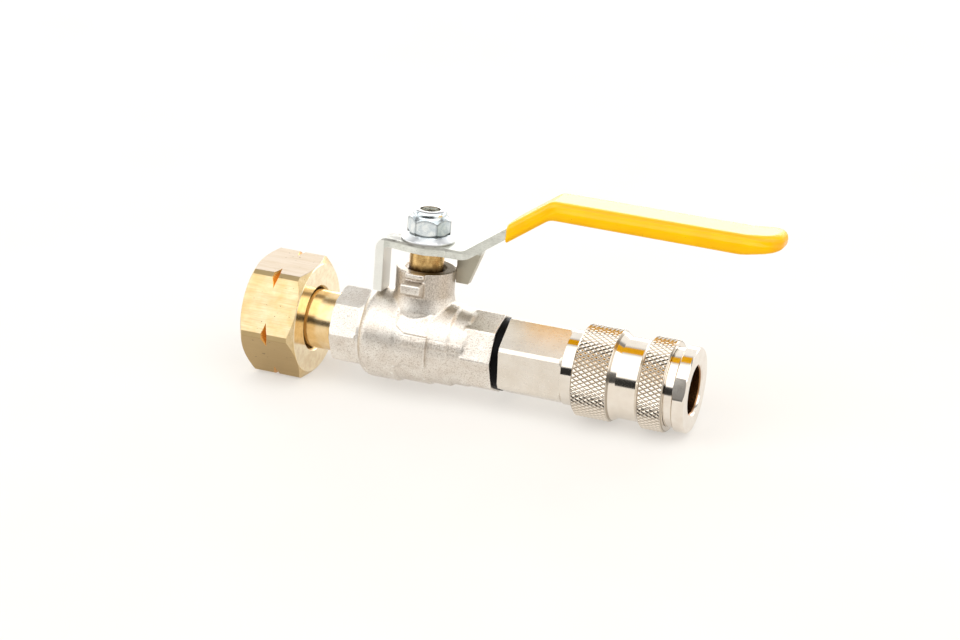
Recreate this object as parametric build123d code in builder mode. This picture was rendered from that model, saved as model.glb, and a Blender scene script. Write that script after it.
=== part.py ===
"""Propane cylinder connector: left-hand union nut, lever ball valve and quick coupling.

The pipe axis is X, from the cylinder side towards the hose side. The valve stem stands
along +Z. The origin is in the middle of the union nut's thread, on the pipe axis.
All lengths are in millimetres.
"""
from build123d import *
from math import atan, cos, radians, sin, sqrt, tan
import os

os.makedirs("parts", exist_ok=True)

# Fits and clearances
running_clearance = 0.08
thread_clearance = 0.05
face_clearance = 0.1
ring_clearance = 0.03
ball_seat_clearance = 0.05

# Union nut
nut_across_flats = 30.0
nut_length = 16.0
nut_thread_minor_radius = 9.74
nut_thread_length = 8.0
nut_entry_chamfer = 1.0
nut_relief_depth = 1.1
nut_lip_thickness = 3.2
nut_hole_clearance = 0.3
nut_hole_countersink = 0.6
nut_corner_chamfer = 1.7
nut_notch_width = 2.4
nut_notch_depth = 1.6
nut_face_rim_inset = 0.3
nut_rest_turn = 7.5

# Nipple
nipple_bore_radius = 3.4
nipple_neck_radius = 8.0
nipple_neck_visible = 8.0
nipple_collar_radius = 9.4
nipple_collar_thickness = 2.6
nipple_key_across_flats = 8.0
nipple_key_depth = 5.0
pipe_thread_radius = 8.2
nipple_thread_length = 8.4
pipe_thread_chamfer = 0.6

# Seal in the nipple's face
cylinder_seal_inner_radius = 5.6
cylinder_seal_outer_radius = 8.0
cylinder_seal_groove_depth = 1.3
cylinder_seal_stand_out = 0.5

# Ball valve, lengths along the pipe measured from the stem axis
octagon_across_flats = 20.0
octagon_corner_chamfer = 0.45
inlet_reach = 22.5
outlet_reach = 23.2
end_cap_octagon_length = 7.7
end_cap_collar_radius = 10.55
end_cap_collar_length = 0.9
end_cap_thread_radius = 9.25
pipe_socket_depth = 9.0
outlet_socket_depth = 10.7
outlet_octagon_length = 8.3
flow_radius = 4.5
belly_radius = 12.4
belly_shoulder_radius = 11.0
belly_shoulder_length = 2.4
belly_reach_in = 3.8
waist_radius = 11.7
waist_reach_out = 5.0
neck_radius = 11.1
neck_reach_out = 10.7
outlet_neck_radius = 10.4
step_run = 0.6
chamber_radius = 8.1

# Raised pads on the belly's two sides
pad_radius = 12.25
pad_root_reach = 6.0
pad_root_half_width = 7.3
pad_neck_reach = 0.8
pad_half_width = 4.25
pad_end_reach = 5.6

# Boss round the stem, with a lug in front and one behind that stop the lever
boss_radius = 7.9
boss_height = 19.9
boss_recess_radius = 5.5
boss_recess_depth = 0.8
boss_foot_radius = 8.7
boss_foot_height = 9.5
boss_foot_taper = 3.6
lug_half_width = 2.7
lug_reach = 11.4
lug_root_reach = 7.3
lug_root_bottom = 13.7
lug_bottom = 15.2
lug_top = 17.6
lug_ledge_radius = 9.0
lug_ledge_bottom = 18.6
rear_lug_radius = 10.4
rear_lug_start = 2.0
rear_lug_bottom = 15.9
rear_lug_top = 19.5

# Ball and seats
ball_radius = 7.5
ball_slot_width = 3.1
ball_slot_floor = 5.7
seat_thickness = 3.0
seat_inner_radius = 4.6
seat_back_land = 0.9

# Stem
stem_radius = 4.6
stem_flange_radius = 5.35
stem_flange_thickness = 1.25
stem_flange_above_chamber = 0.05
thrust_washer_thickness = 0.6
tang_clearance = 0.05
tang_end_clearance = 0.25
o_ring_section_radius = 0.6
o_ring_groove_width = 1.6
lower_o_ring_height = 12.8
upper_o_ring_height = 16.4
stem_square = 6.0
square_clearance = 0.05
stem_square_corner = 0.5
stem_thread_radius = 2.95
stem_thread_length = 7.4
stem_square_drop = 0.1
stem_end_chamfer = 0.5
stem_pocket_overlap = 2.0

# Lever plate
plate_thickness = 2.4
plate_underside = 24.9
guard_tab_inner = 11.25
guard_tab_bottom = 12.55
guard_tab_half_width = 3.0
eye_radius = 8.6
eye_blend_radius = 3.0
eye_pick_range = 0.5
handle_half_width = 5.25
first_bend_reach = 12.5
handle_rise = 15.9
handle_slope = 35.6
tab_bend_radius = 0.8
first_bend_radius = 6.0
second_bend_radius = 2.6
plate_end_reach = 91.2
stop_gap = 0.15
stop_ear_start = 7.5
stop_ear_foot = 10.9
stop_ear_lean = 0.37
stop_ear_corner = 0.6
stop_ear_bottom = 16.1
stop_ear_head = 26.9

# Dipped grip over the lever plate
grip_start_reach = 23.3
grip_mouth_coat = 0.9
grip_under_coat = 1.2
grip_over_coat = 1.45
grip_drip_coat = 1.65
grip_drip_reach = 85.0
grip_side_coat = 1.45
grip_reach = 94.6
grip_tip_bottom = 0.3
grip_tip_coat = 2.1
grip_end_corner = 5.0
grip_edge = 1.75
grip_tip_radius = 12.0

# Flange lock nut on the stem
lock_nut_across_flats = 10.0
lock_nut_turn = 12.0
lock_nut_flange_radius = 7.1
lock_nut_flange_edge = 0.7
lock_nut_flange_height = 2.2
lock_nut_flange_top_radius = 5.1
lock_nut_hex_top = 6.9
lock_nut_cone_drop = 1.3
lock_nut_collar_radius = 4.5
lock_nut_collar_shoulder = 7.5
lock_nut_height = 8.4
lock_nut_rim_radius = 3.5
lock_nut_rim_roll = 0.28
lock_nut_lip_radius = 2.75
insert_outer_radius = 3.45
insert_hole_radius = 2.5
insert_depth = 1.7
insert_below_rim = 0.25

# Quick coupling, from the adapter's hexagon to the nose
outlet_seal_thickness = 2.0
outlet_seal_outer_radius = 9.7
outlet_seal_edge = 0.4
coupling_thread_length = 8.0
coupling_hex_across_flats = 19.0
coupling_hex_length = 17.2
coupling_hex_turn = 36.5
coupling_hex_chamfer = 0.5
coupling_hex_rear_run = 0.25
coupling_hex_front_chamfer = 0.75
coupling_hex_front_run = 1.0
adapter_core_radius = 9.0
collar_radius = 10.0
collar_length = 7.6
poppet_chamber_radius = 6.0
poppet_chamber_length = 4.8
body_thread_radius = 7.95
body_thread_length = 9.0
spigot_end_gap = 0.2
spigot_chamber_radius = 6.9
spigot_chamber_depth = 7.0
barrel_radius = 8.95
barrel_length = 18.2
guide_radius = 10.0
guide_length = 2.1
shoulder_radius = 10.5
shoulder_length = 2.2
flange_radius = 11.3
flange_thickness = 3.3
flange_chamfer = 0.35
plug_guide_radius = 6.3
plug_guide_length = 8.2
plug_guide_chamfer = 0.7
seal_bore_radius = 6.0
plug_bore_depth = 17.8
passage_radius = 4.6
plug_seal_depth = 14.3
plug_seal_section_radius = 0.75
plug_seal_groove_width = 2.0
plug_seal_stand_out = 0.27
ball_pocket_overrun = 1.0

# Locking balls and sleeve
locking_ball_count = 6
locking_ball_radius = 2.0
locking_ball_depth = 10.8
locking_ball_bite = 0.6
locking_ball_clearance = 0.05
lock_cone_slope = 0.3
sleeve_radius = 12.2
sleeve_waist_radius = 10.8
sleeve_gap_to_hex = 3.4
rear_band_length = 9.6
rear_bevel_run = 2.0
waist_length = 5.4
front_bevel_run = 1.1
sleeve_edge_bevel = 0.7
sleeve_front_land_length = 12.9
sleeve_lip_length = 1.0
sleeve_cone_end = 1.8
sleeve_bore_chamfer = 0.4
spring_wire_radius = 0.4
sleeve_spring_turns = 3.0
sleeve_washer_thickness = 0.8
poppet_head_radius = 5.6
poppet_head_thickness = 2.6
poppet_hub_radius = 3.0
poppet_stub_radius = 3.6
poppet_stub_length = 2.2
poppet_stub_chamfer = 0.4
poppet_seal_thickness = 0.9
poppet_seal_radius = 5.4
poppet_wing_count = 3
poppet_wing_thickness = 1.3
poppet_reach = 9.5
poppet_spring_turns = 4.0
poppet_spring_mean_radius = 4.9

# Stations along the pipe axis
nut_mouth_x = -(nut_thread_length / 2 + nut_entry_chamfer)
nut_thread_end_x = nut_thread_length / 2
nut_face_x = nut_mouth_x + nut_length
nut_lip_x = nut_face_x - nut_lip_thickness
nipple_collar_x = nut_lip_x - face_clearance
nipple_face_x = nipple_collar_x - nipple_collar_thickness
inlet_x = nut_face_x + nipple_neck_visible
stem_x = inlet_x + inlet_reach
outlet_x = stem_x + outlet_reach
coupling_x = outlet_x + outlet_seal_thickness
hex_end_x = coupling_x + coupling_hex_length
adapter_end_x = hex_end_x + collar_length
spigot_x = adapter_end_x - body_thread_length
seat_x = spigot_x + spigot_chamber_depth
barrel_end_x = adapter_end_x + barrel_length
shoulder_x = barrel_end_x + guide_length
flange_x = shoulder_x + shoulder_length
nose_x = flange_x + flange_thickness
sleeve_x = hex_end_x + sleeve_gap_to_hex
sleeve_end_x = shoulder_x - face_clearance
sleeve_shoulder_x = sleeve_end_x - sleeve_front_land_length
locking_ball_x = nose_x - locking_ball_depth
locking_ball_pitch_radius = seal_bore_radius - locking_ball_bite + locking_ball_radius
pipe_socket_radius = pipe_thread_radius + thread_clearance
stem_top_plane = plate_underside + plate_thickness
stop_ear_inner = lug_half_width + stop_gap


# Union nut: hexagon with a notch round its corners, threaded from the cylinder side
nut_corner_radius = nut_across_flats / 2 / cos(radians(30))
nut_hole_radius = pipe_thread_radius + nut_hole_clearance
nut_relief_radius = nut_thread_minor_radius + nut_relief_depth
nut_notch_x = (nut_mouth_x + nut_face_x) / 2
with BuildPart() as union_nut:
    with BuildSketch(Plane.YZ.offset(nut_mouth_x)):
        RegularPolygon(nut_across_flats / 2, 6, major_radius=False, rotation=nut_rest_turn)
    extrude(amount=nut_length)
    with BuildSketch(Plane.XZ):
        with BuildLine():
            Polyline(
                (nut_mouth_x, 0),
                (nut_mouth_x, nut_across_flats / 2 - nut_face_rim_inset),
                (nut_mouth_x + nut_corner_chamfer, nut_corner_radius),
                (nut_notch_x - nut_notch_width / 2, nut_corner_radius),
                (nut_notch_x, nut_corner_radius - nut_notch_depth),
                (nut_notch_x + nut_notch_width / 2, nut_corner_radius),
                (nut_face_x - nut_corner_chamfer, nut_corner_radius),
                (nut_face_x, nut_across_flats / 2 - nut_face_rim_inset),
                (nut_face_x, 0),
                close=True,
            )
        make_face()
    revolve(axis=Axis.X, mode=Mode.INTERSECT)
    with BuildSketch(Plane.XZ):
        with BuildLine():
            Polyline(
                (nut_mouth_x, 0),
                (nut_mouth_x, nut_thread_minor_radius + nut_entry_chamfer),
                (nut_mouth_x + nut_entry_chamfer, nut_thread_minor_radius),
                (nut_thread_end_x, nut_thread_minor_radius),
                (nut_thread_end_x, nut_relief_radius),
                (nut_lip_x, nut_relief_radius),
                (nut_lip_x, nut_hole_radius),
                (nut_face_x - nut_hole_countersink, nut_hole_radius),
                (nut_face_x, nut_hole_radius + nut_hole_countersink),
                (nut_face_x, 0),
                close=True,
            )
        make_face()
    revolve(axis=Axis.X, mode=Mode.SUBTRACT)
union_nut.part.label = "union_nut"
export_step(union_nut.part, "parts/union_nut.step")


# Nipple: turned brass tail that carries the nut on its collar and screws into the valve
seal_groove_x = nipple_face_x + cylinder_seal_groove_depth
nipple_end_x = inlet_x + nipple_thread_length
with BuildPart() as nipple:
    with BuildSketch(Plane.XZ):
        with BuildLine():
            Polyline(
                (nipple_face_x, nipple_bore_radius),
                (nipple_face_x, cylinder_seal_inner_radius),
                (seal_groove_x, cylinder_seal_inner_radius),
                (seal_groove_x, cylinder_seal_outer_radius),
                (nipple_face_x, cylinder_seal_outer_radius),
                (nipple_face_x, nipple_collar_radius),
                (nipple_collar_x, nipple_collar_radius),
                (nipple_collar_x, nipple_neck_radius),
                (inlet_x, nipple_neck_radius),
                (inlet_x, pipe_thread_radius),
                (nipple_end_x - pipe_thread_chamfer, pipe_thread_radius),
                (nipple_end_x, pipe_thread_radius - pipe_thread_chamfer),
                (nipple_end_x, nipple_bore_radius),
                close=True,
            )
        make_face()
    revolve(axis=Axis.X)
    with BuildSketch(Plane.YZ.offset(nipple_face_x)):
        RegularPolygon(nipple_key_across_flats / 2, 6, major_radius=False)
    extrude(amount=nipple_key_depth, mode=Mode.SUBTRACT)
nipple.part.label = "nipple"
export_step(nipple.part, "parts/nipple.step")


# Cylinder seal: rubber ring pressed into the groove of the nipple's face
with BuildPart() as cylinder_seal:
    with BuildSketch(Plane.YZ.offset(nipple_face_x - cylinder_seal_stand_out)):
        Circle(cylinder_seal_outer_radius - ring_clearance)
        Circle(cylinder_seal_inner_radius + ring_clearance, mode=Mode.SUBTRACT)
    extrude(amount=cylinder_seal_groove_depth + cylinder_seal_stand_out)
cylinder_seal.part.label = "cylinder_seal"
export_step(cylinder_seal.part, "parts/cylinder_seal.step")


# Valve end cap: octagonal inlet piece screwed into the valve body
octagon_corner_radius = octagon_across_flats / 2 / cos(radians(22.5))
cap_octagon_end_x = inlet_x + end_cap_octagon_length
body_left_x = cap_octagon_end_x + end_cap_collar_length
seat_back = sqrt((ball_radius + ball_seat_clearance) ** 2 - seat_inner_radius ** 2) + seat_back_land
cap_end_x = stem_x - seat_back
with BuildPart() as valve_end_cap:
    with BuildSketch(Plane.YZ.offset(inlet_x)):
        RegularPolygon(octagon_across_flats / 2, 8, major_radius=False)
    extrude(amount=end_cap_octagon_length)
    with BuildSketch(Plane.XZ):
        with BuildLine():
            Polyline(
                (inlet_x, 0),
                (inlet_x, octagon_corner_radius - octagon_corner_chamfer),
                (inlet_x + octagon_corner_chamfer, octagon_corner_radius),
                (cap_octagon_end_x - octagon_corner_chamfer, octagon_corner_radius),
                (cap_octagon_end_x, octagon_corner_radius - octagon_corner_chamfer),
                (cap_octagon_end_x, 0),
                close=True,
            )
        make_face()
    revolve(axis=Axis.X, mode=Mode.INTERSECT)
    with BuildSketch(Plane.YZ.offset(cap_octagon_end_x)):
        Circle(end_cap_collar_radius)
    extrude(amount=end_cap_collar_length)
    with BuildSketch(Plane.YZ.offset(body_left_x)):
        Circle(end_cap_thread_radius)
    extrude(amount=cap_end_x - body_left_x)
    with BuildSketch(Plane.YZ.offset(inlet_x)):
        Circle(pipe_socket_radius)
    extrude(amount=pipe_socket_depth, mode=Mode.SUBTRACT)
    with BuildSketch(Plane.YZ.offset(inlet_x)):
        Circle(flow_radius)
    extrude(amount=cap_end_x - inlet_x, mode=Mode.SUBTRACT)
valve_end_cap.part.label = "valve_end_cap"
export_step(valve_end_cap.part, "parts/valve_end_cap.step")


# Valve body: forging with a stepped belly, octagonal outlet and the boss for the stem
belly_in_x = stem_x - belly_reach_in
waist_out_x = stem_x + waist_reach_out
neck_out_x = stem_x + neck_reach_out
octagon_x = outlet_x - outlet_octagon_length
outlet_seat_x = stem_x + seat_back
outlet_socket_x = outlet_x - outlet_socket_depth
stem_flange_bottom = chamber_radius + stem_flange_above_chamber
stem_pocket_top = stem_flange_bottom + stem_flange_thickness + thrust_washer_thickness
with BuildPart() as belly_pads:
    with BuildSketch(Plane.XZ):
        with BuildLine():
            Polyline(
                (stem_x - pad_root_reach, -pad_root_half_width),
                (stem_x - pad_neck_reach, -pad_half_width),
                (stem_x + pad_end_reach, -pad_half_width),
                (stem_x + pad_end_reach, pad_half_width),
                (stem_x - pad_neck_reach, pad_half_width),
                (stem_x - pad_root_reach, pad_root_half_width),
                close=True,
            )
        make_face()
    extrude(amount=belly_radius, both=True)
    with BuildSketch(Plane.YZ.offset(stem_x - pad_root_reach)):
        Circle(pad_radius)
    extrude(amount=pad_root_reach + pad_end_reach, mode=Mode.INTERSECT)
with BuildPart() as valve_body:
    with BuildSketch(Plane.XZ):
        with BuildLine():
            Line((body_left_x, 0), (body_left_x, belly_shoulder_radius))
            TangentArc(
                (body_left_x + belly_shoulder_length, belly_radius),
                (body_left_x, belly_shoulder_radius),
                tangent=(-1, 0),
            )
            Polyline(
                (body_left_x + belly_shoulder_length, belly_radius),
                (belly_in_x, belly_radius),
                (belly_in_x + step_run, waist_radius),
                (waist_out_x, waist_radius),
                (waist_out_x + step_run, neck_radius),
                (neck_out_x, neck_radius),
                (neck_out_x + step_run, outlet_neck_radius),
                (octagon_x + step_run, outlet_neck_radius),
                (octagon_x + step_run, 0),
                (body_left_x, 0),
            )
        make_face()
    revolve(axis=Axis.X)
    with BuildSketch(Plane.XZ):
        with BuildLine():
            Polyline(
                (stem_x, 0),
                (stem_x + boss_foot_radius, 0),
                (stem_x + boss_foot_radius, boss_foot_height),
                (stem_x + boss_radius, boss_foot_height + boss_foot_taper),
                (stem_x + boss_radius, boss_height),
                (stem_x, boss_height),
                close=True,
            )
        make_face()
    revolve(axis=Axis((stem_x, 0, 0), (0, 0, 1)))
    with BuildSketch(Plane.YZ.offset(octagon_x)):
        RegularPolygon(octagon_across_flats / 2, 8, major_radius=False)
    extrude(amount=outlet_octagon_length)
    add(belly_pads.part)
    with BuildSketch(Plane.YZ.offset(stem_x)):
        with BuildLine():
            Polyline(
                (-lug_root_reach, lug_root_bottom),
                (-boss_radius, lug_root_bottom),
                (-lug_reach, lug_bottom),
                (-lug_reach, lug_top),
                (-lug_root_reach, lug_top),
                close=True,
            )
        make_face()
    extrude(amount=lug_half_width, both=True)
    with BuildSketch(Plane.XY.offset(lug_ledge_bottom)):
        with Locations((stem_x, 0)):
            Circle(lug_ledge_radius)
            Rectangle(2 * lug_half_width, 2 * lug_ledge_radius, mode=Mode.INTERSECT)
    extrude(amount=boss_height - lug_ledge_bottom)
    with BuildSketch(Plane.XY.offset(rear_lug_bottom)):
        with Locations((stem_x, 0)):
            Circle(rear_lug_radius)
        with Locations((stem_x + rear_lug_start, stop_ear_inner + plate_thickness + stop_gap)):
            Rectangle(rear_lug_radius, rear_lug_radius, align=(Align.MIN, Align.MIN), mode=Mode.INTERSECT)
    extrude(amount=rear_lug_top - rear_lug_bottom)
    with BuildSketch(Plane.XY.offset(stem_flange_bottom - stem_pocket_overlap)):
        with Locations((stem_x, 0)):
            Circle(stem_flange_radius + 2 * running_clearance)
    extrude(amount=stem_pocket_top - stem_flange_bottom + stem_pocket_overlap, mode=Mode.SUBTRACT)
    with BuildSketch(Plane.XY):
        with Locations((stem_x, 0)):
            Circle(stem_radius + running_clearance)
    extrude(amount=boss_height, mode=Mode.SUBTRACT)
    with BuildSketch(Plane.XY.offset(boss_height - boss_recess_depth)):
        with Locations((stem_x, 0)):
            Circle(boss_recess_radius)
    extrude(amount=boss_recess_depth, mode=Mode.SUBTRACT)
    with BuildSketch(Plane.XZ):
        with BuildLine():
            Polyline(
                (body_left_x, 0),
                (body_left_x, end_cap_thread_radius + thread_clearance),
                (cap_end_x, end_cap_thread_radius + thread_clearance),
                (cap_end_x, chamber_radius),
                (outlet_seat_x, chamber_radius),
                (outlet_seat_x, flow_radius),
                (outlet_socket_x, flow_radius),
                (outlet_socket_x, pipe_socket_radius),
                (outlet_x, pipe_socket_radius),
                (outlet_x, 0),
                close=True,
            )
        make_face()
    revolve(axis=Axis.X, mode=Mode.SUBTRACT)
valve_body.part.label = "valve_body"
export_step(valve_body.part, "parts/valve_body.step")


# Ball: bored sphere with a slot across its top for the stem's tang
with BuildPart() as ball:
    with Locations((stem_x, 0, 0)):
        Sphere(ball_radius)
    with BuildSketch(Plane.YZ.offset(stem_x - ball_radius)):
        Circle(flow_radius)
    extrude(amount=2 * ball_radius, mode=Mode.SUBTRACT)
    with BuildSketch(Plane.XY.offset(ball_slot_floor)):
        with Locations((stem_x, 0)):
            Rectangle(ball_slot_width, 2 * ball_radius)
    extrude(amount=ball_radius, mode=Mode.SUBTRACT)
ball.part.label = "ball"
export_step(ball.part, "parts/ball.step")


# Seats: two rings that the ball turns between
seat_sphere_radius = ball_radius + ball_seat_clearance
seat_front = seat_back - seat_thickness
seat_front_radius = sqrt(seat_sphere_radius ** 2 - seat_front ** 2)
seat_edge = sqrt(seat_sphere_radius ** 2 - seat_inner_radius ** 2)
for seat_name, side in (("seat_inlet", -1), ("seat_outlet", 1)):
    with BuildPart() as seat:
        with BuildSketch(Plane.XZ):
            with BuildLine():
                RadiusArc(
                    (stem_x + side * seat_edge, seat_inner_radius),
                    (stem_x + side * seat_front, seat_front_radius),
                    -side * seat_sphere_radius,
                )
                Polyline(
                    (stem_x + side * seat_front, seat_front_radius),
                    (stem_x + side * seat_front, chamber_radius - thread_clearance),
                    (stem_x + side * seat_back, chamber_radius - thread_clearance),
                    (stem_x + side * seat_back, seat_inner_radius),
                    (stem_x + side * seat_edge, seat_inner_radius),
                )
            make_face()
        revolve(axis=Axis.X)
    seat.part.label = seat_name
    export_step(seat.part, f"parts/{seat_name}.step")


# Stem: turned from below into the boss, with a tang, two ring grooves, a square and a thread
tang_half_length = seat_front - tang_end_clearance
o_ring_groove_radius = stem_radius + running_clearance - 2 * (o_ring_section_radius + ring_clearance)
stem_square_top = stem_top_plane - stem_square_drop
stem_top = stem_top_plane + stem_thread_length
with BuildPart() as stem:
    with BuildSketch(Plane.XY.offset(stem_flange_bottom)):
        with Locations((stem_x, 0)):
            Circle(stem_flange_radius)
    extrude(amount=stem_flange_thickness)
    with BuildSketch(Plane.XY.offset(stem_flange_bottom)):
        with Locations((stem_x, 0)):
            Circle(stem_radius)
    extrude(amount=plate_underside - stem_flange_bottom)
    for ring_height in (lower_o_ring_height, upper_o_ring_height):
        with BuildSketch(Plane.XY.offset(ring_height - o_ring_groove_width / 2)):
            with Locations((stem_x, 0)):
                Circle(stem_radius)
                Circle(o_ring_groove_radius, mode=Mode.SUBTRACT)
        extrude(amount=o_ring_groove_width, mode=Mode.SUBTRACT)
    with BuildSketch(Plane.XY.offset(ball_slot_floor + tang_clearance)):
        with Locations((stem_x, 0)):
            Rectangle(ball_slot_width - 2 * tang_clearance, 2 * tang_half_length)
    extrude(amount=stem_flange_bottom - ball_slot_floor - tang_clearance)
    with BuildSketch(Plane.XY.offset(plate_underside)):
        with Locations((stem_x, 0)):
            RectangleRounded(stem_square, stem_square, stem_square_corner)
    extrude(amount=stem_square_top - plate_underside)
    with BuildSketch(Plane.XY.offset(stem_square_top)):
        with Locations((stem_x, 0)):
            Circle(stem_thread_radius)
    extrude(amount=stem_top - stem_square_top)
    chamfer(stem.edges().group_by(Axis.Z)[-1], length=stem_end_chamfer)
stem.part.label = "stem"
export_step(stem.part, "parts/stem.step")


# Thrust washer: thin ring between the stem's flange and the roof of its pocket
with BuildPart() as thrust_washer:
    with BuildSketch(Plane.XY.offset(stem_pocket_top - thrust_washer_thickness)):
        with Locations((stem_x, 0)):
            Circle(stem_flange_radius)
            Circle(stem_radius + ring_clearance, mode=Mode.SUBTRACT)
    extrude(amount=thrust_washer_thickness - ring_clearance)
thrust_washer.part.label = "thrust_washer"
export_step(thrust_washer.part, "parts/thrust_washer.step")


# O-rings in the stem's two grooves
o_ring_mean_radius = o_ring_groove_radius + ring_clearance + o_ring_section_radius
for ring_name, ring_height in (
    ("stem_o_ring_lower", lower_o_ring_height),
    ("stem_o_ring_upper", upper_o_ring_height),
):
    with BuildPart() as stem_o_ring:
        with Locations((stem_x, 0, ring_height)):
            Torus(o_ring_mean_radius, o_ring_section_radius)
    stem_o_ring.part.label = ring_name
    export_step(stem_o_ring.part, f"parts/{ring_name}.step")


# Lever plate: the stop ear, which hangs from the strip's far edge beside the eye, is shaped first;
# the plate is one steel strip with a guard tab, an eye, the stop ear and the raised handle
second_bend_reach = first_bend_reach + handle_rise / tan(radians(handle_slope))
handle_underside = plate_underside + handle_rise
lever_half_depth = 2 * eye_radius
with BuildPart() as stop_ear:
    with BuildSketch(Plane.XZ.offset(-stop_ear_inner)):
        with BuildLine():
            Polyline(
                (stem_x + stop_ear_start, stop_ear_bottom),
                (stem_x + stop_ear_foot, stop_ear_bottom),
                (stem_x + stop_ear_foot + stop_ear_lean * (stop_ear_head - stop_ear_bottom), stop_ear_head),
                (stem_x + stop_ear_start, stop_ear_head),
                close=True,
            )
        ear_face = make_face()
        fillet(ear_face.vertices().group_by(Axis.Z)[0].sort_by(Axis.X)[-1], radius=stop_ear_corner)
    extrude(amount=-plate_thickness)
with BuildPart() as lever_plate:
    with BuildSketch(Plane.XZ):
        with BuildLine():
            FilletPolyline(
                (stem_x - guard_tab_inner, guard_tab_bottom),
                (stem_x - guard_tab_inner, plate_underside),
                (stem_x + first_bend_reach, plate_underside),
                (stem_x + second_bend_reach, handle_underside),
                (stem_x + plate_end_reach, handle_underside),
                radius=(tab_bend_radius, first_bend_radius, second_bend_radius),
            )
            offset(amount=plate_thickness, side=Side.LEFT)
        make_face()
    extrude(amount=lever_half_depth, both=True)
    with BuildSketch(Plane.XY.offset(guard_tab_bottom)) as plan:
        with Locations((stem_x, 0)):
            Circle(eye_radius)
        with BuildLine():
            Polyline(
                (stem_x - 2 * guard_tab_inner, -guard_tab_half_width),
                (stem_x, -guard_tab_half_width),
                (stem_x, guard_tab_half_width),
                (stem_x - 2 * guard_tab_inner, guard_tab_half_width),
                close=True,
            )
        make_face()
        with BuildLine():
            Polyline(
                (stem_x, -handle_half_width),
                (stem_x + plate_end_reach, -handle_half_width),
                (stem_x + plate_end_reach, handle_half_width),
                (stem_x, handle_half_width),
                close=True,
            )
        make_face()
        eye_corners = plan.vertices().filter_by(
            lambda corner: abs(sqrt((corner.X - stem_x) ** 2 + corner.Y ** 2) - eye_radius) < eye_pick_range
        )
        fillet(eye_corners, radius=eye_blend_radius)
        fillet(plan.vertices().group_by(Axis.X)[-1], radius=grip_end_corner - grip_side_coat)
    extrude(amount=handle_underside + 2 * plate_thickness - guard_tab_bottom, mode=Mode.INTERSECT)
    add(stop_ear.part)
    with BuildSketch(Plane.XY.offset(plate_underside)):
        with Locations((stem_x, 0)):
            Rectangle(stem_square + 2 * square_clearance, stem_square + 2 * square_clearance)
    extrude(amount=plate_thickness, mode=Mode.SUBTRACT)
lever_plate.part.label = "lever_plate"
export_step(lever_plate.part, "parts/lever_plate.step")


# Grip: soft coat dipped over the raised end of the lever plate
grip_half_width = handle_half_width + grip_side_coat
handle_top = handle_underside + plate_thickness
slope_rise = tan(radians(handle_slope))
slope_stretch = 1 / cos(radians(handle_slope))
mouth_underside = plate_underside + (grip_start_reach - first_bend_reach) * slope_rise
mouth_bottom = mouth_underside - grip_mouth_coat * slope_stretch
mouth_top = mouth_underside + (plate_thickness + grip_mouth_coat) * slope_stretch
grip_bottom = handle_underside - grip_under_coat
grip_top = handle_top + grip_over_coat
grip_lower_bend = grip_start_reach + (grip_bottom - mouth_bottom) / slope_rise
grip_upper_bend = grip_start_reach + (grip_top - mouth_top) / slope_rise
with BuildPart() as lever_grip:
    with BuildSketch(Plane.XZ):
        with BuildLine():
            lower = FilletPolyline(
                (stem_x + grip_start_reach, mouth_bottom),
                (stem_x + grip_lower_bend, grip_bottom),
                (stem_x + grip_drip_reach, handle_underside - grip_drip_coat),
                (stem_x + grip_reach, handle_underside + grip_tip_bottom),
                radius=(second_bend_radius + grip_under_coat, grip_tip_radius),
            )
            upper = FilletPolyline(
                (stem_x + grip_start_reach, mouth_top),
                (stem_x + grip_upper_bend, grip_top),
                (stem_x + grip_drip_reach, handle_top + grip_under_coat),
                (stem_x + grip_reach, handle_top + grip_tip_coat),
                radius=(second_bend_radius + grip_under_coat, grip_tip_radius),
            )
            Line(lower @ 0, upper @ 0)
            Line(lower @ 1, upper @ 1)
        make_face()
    extrude(amount=grip_half_width, both=True)
    with BuildSketch(Plane.XY.offset(mouth_bottom)) as grip_plan:
        with BuildLine():
            Polyline(
                (stem_x + grip_start_reach, -grip_half_width),
                (stem_x + grip_reach, -grip_half_width),
                (stem_x + grip_reach, grip_half_width),
                (stem_x + grip_start_reach, grip_half_width),
                close=True,
            )
        make_face()
        fillet(grip_plan.vertices().group_by(Axis.X)[-1], radius=grip_end_corner)
    extrude(amount=2 * handle_rise, mode=Mode.INTERSECT)
    grip_sides = lever_grip.faces().sort_by(Axis.Y)
    grip_rims = grip_sides[0].edges() + grip_sides[-1].edges()
    grip_mouth = lever_grip.edges().group_by(Axis.X)[0]
    fillet(grip_rims - grip_mouth, radius=grip_edge)
    add(lever_plate.part, mode=Mode.SUBTRACT)
lever_grip.part.label = "lever_grip"
export_step(lever_grip.part, "parts/lever_grip.step")


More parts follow.
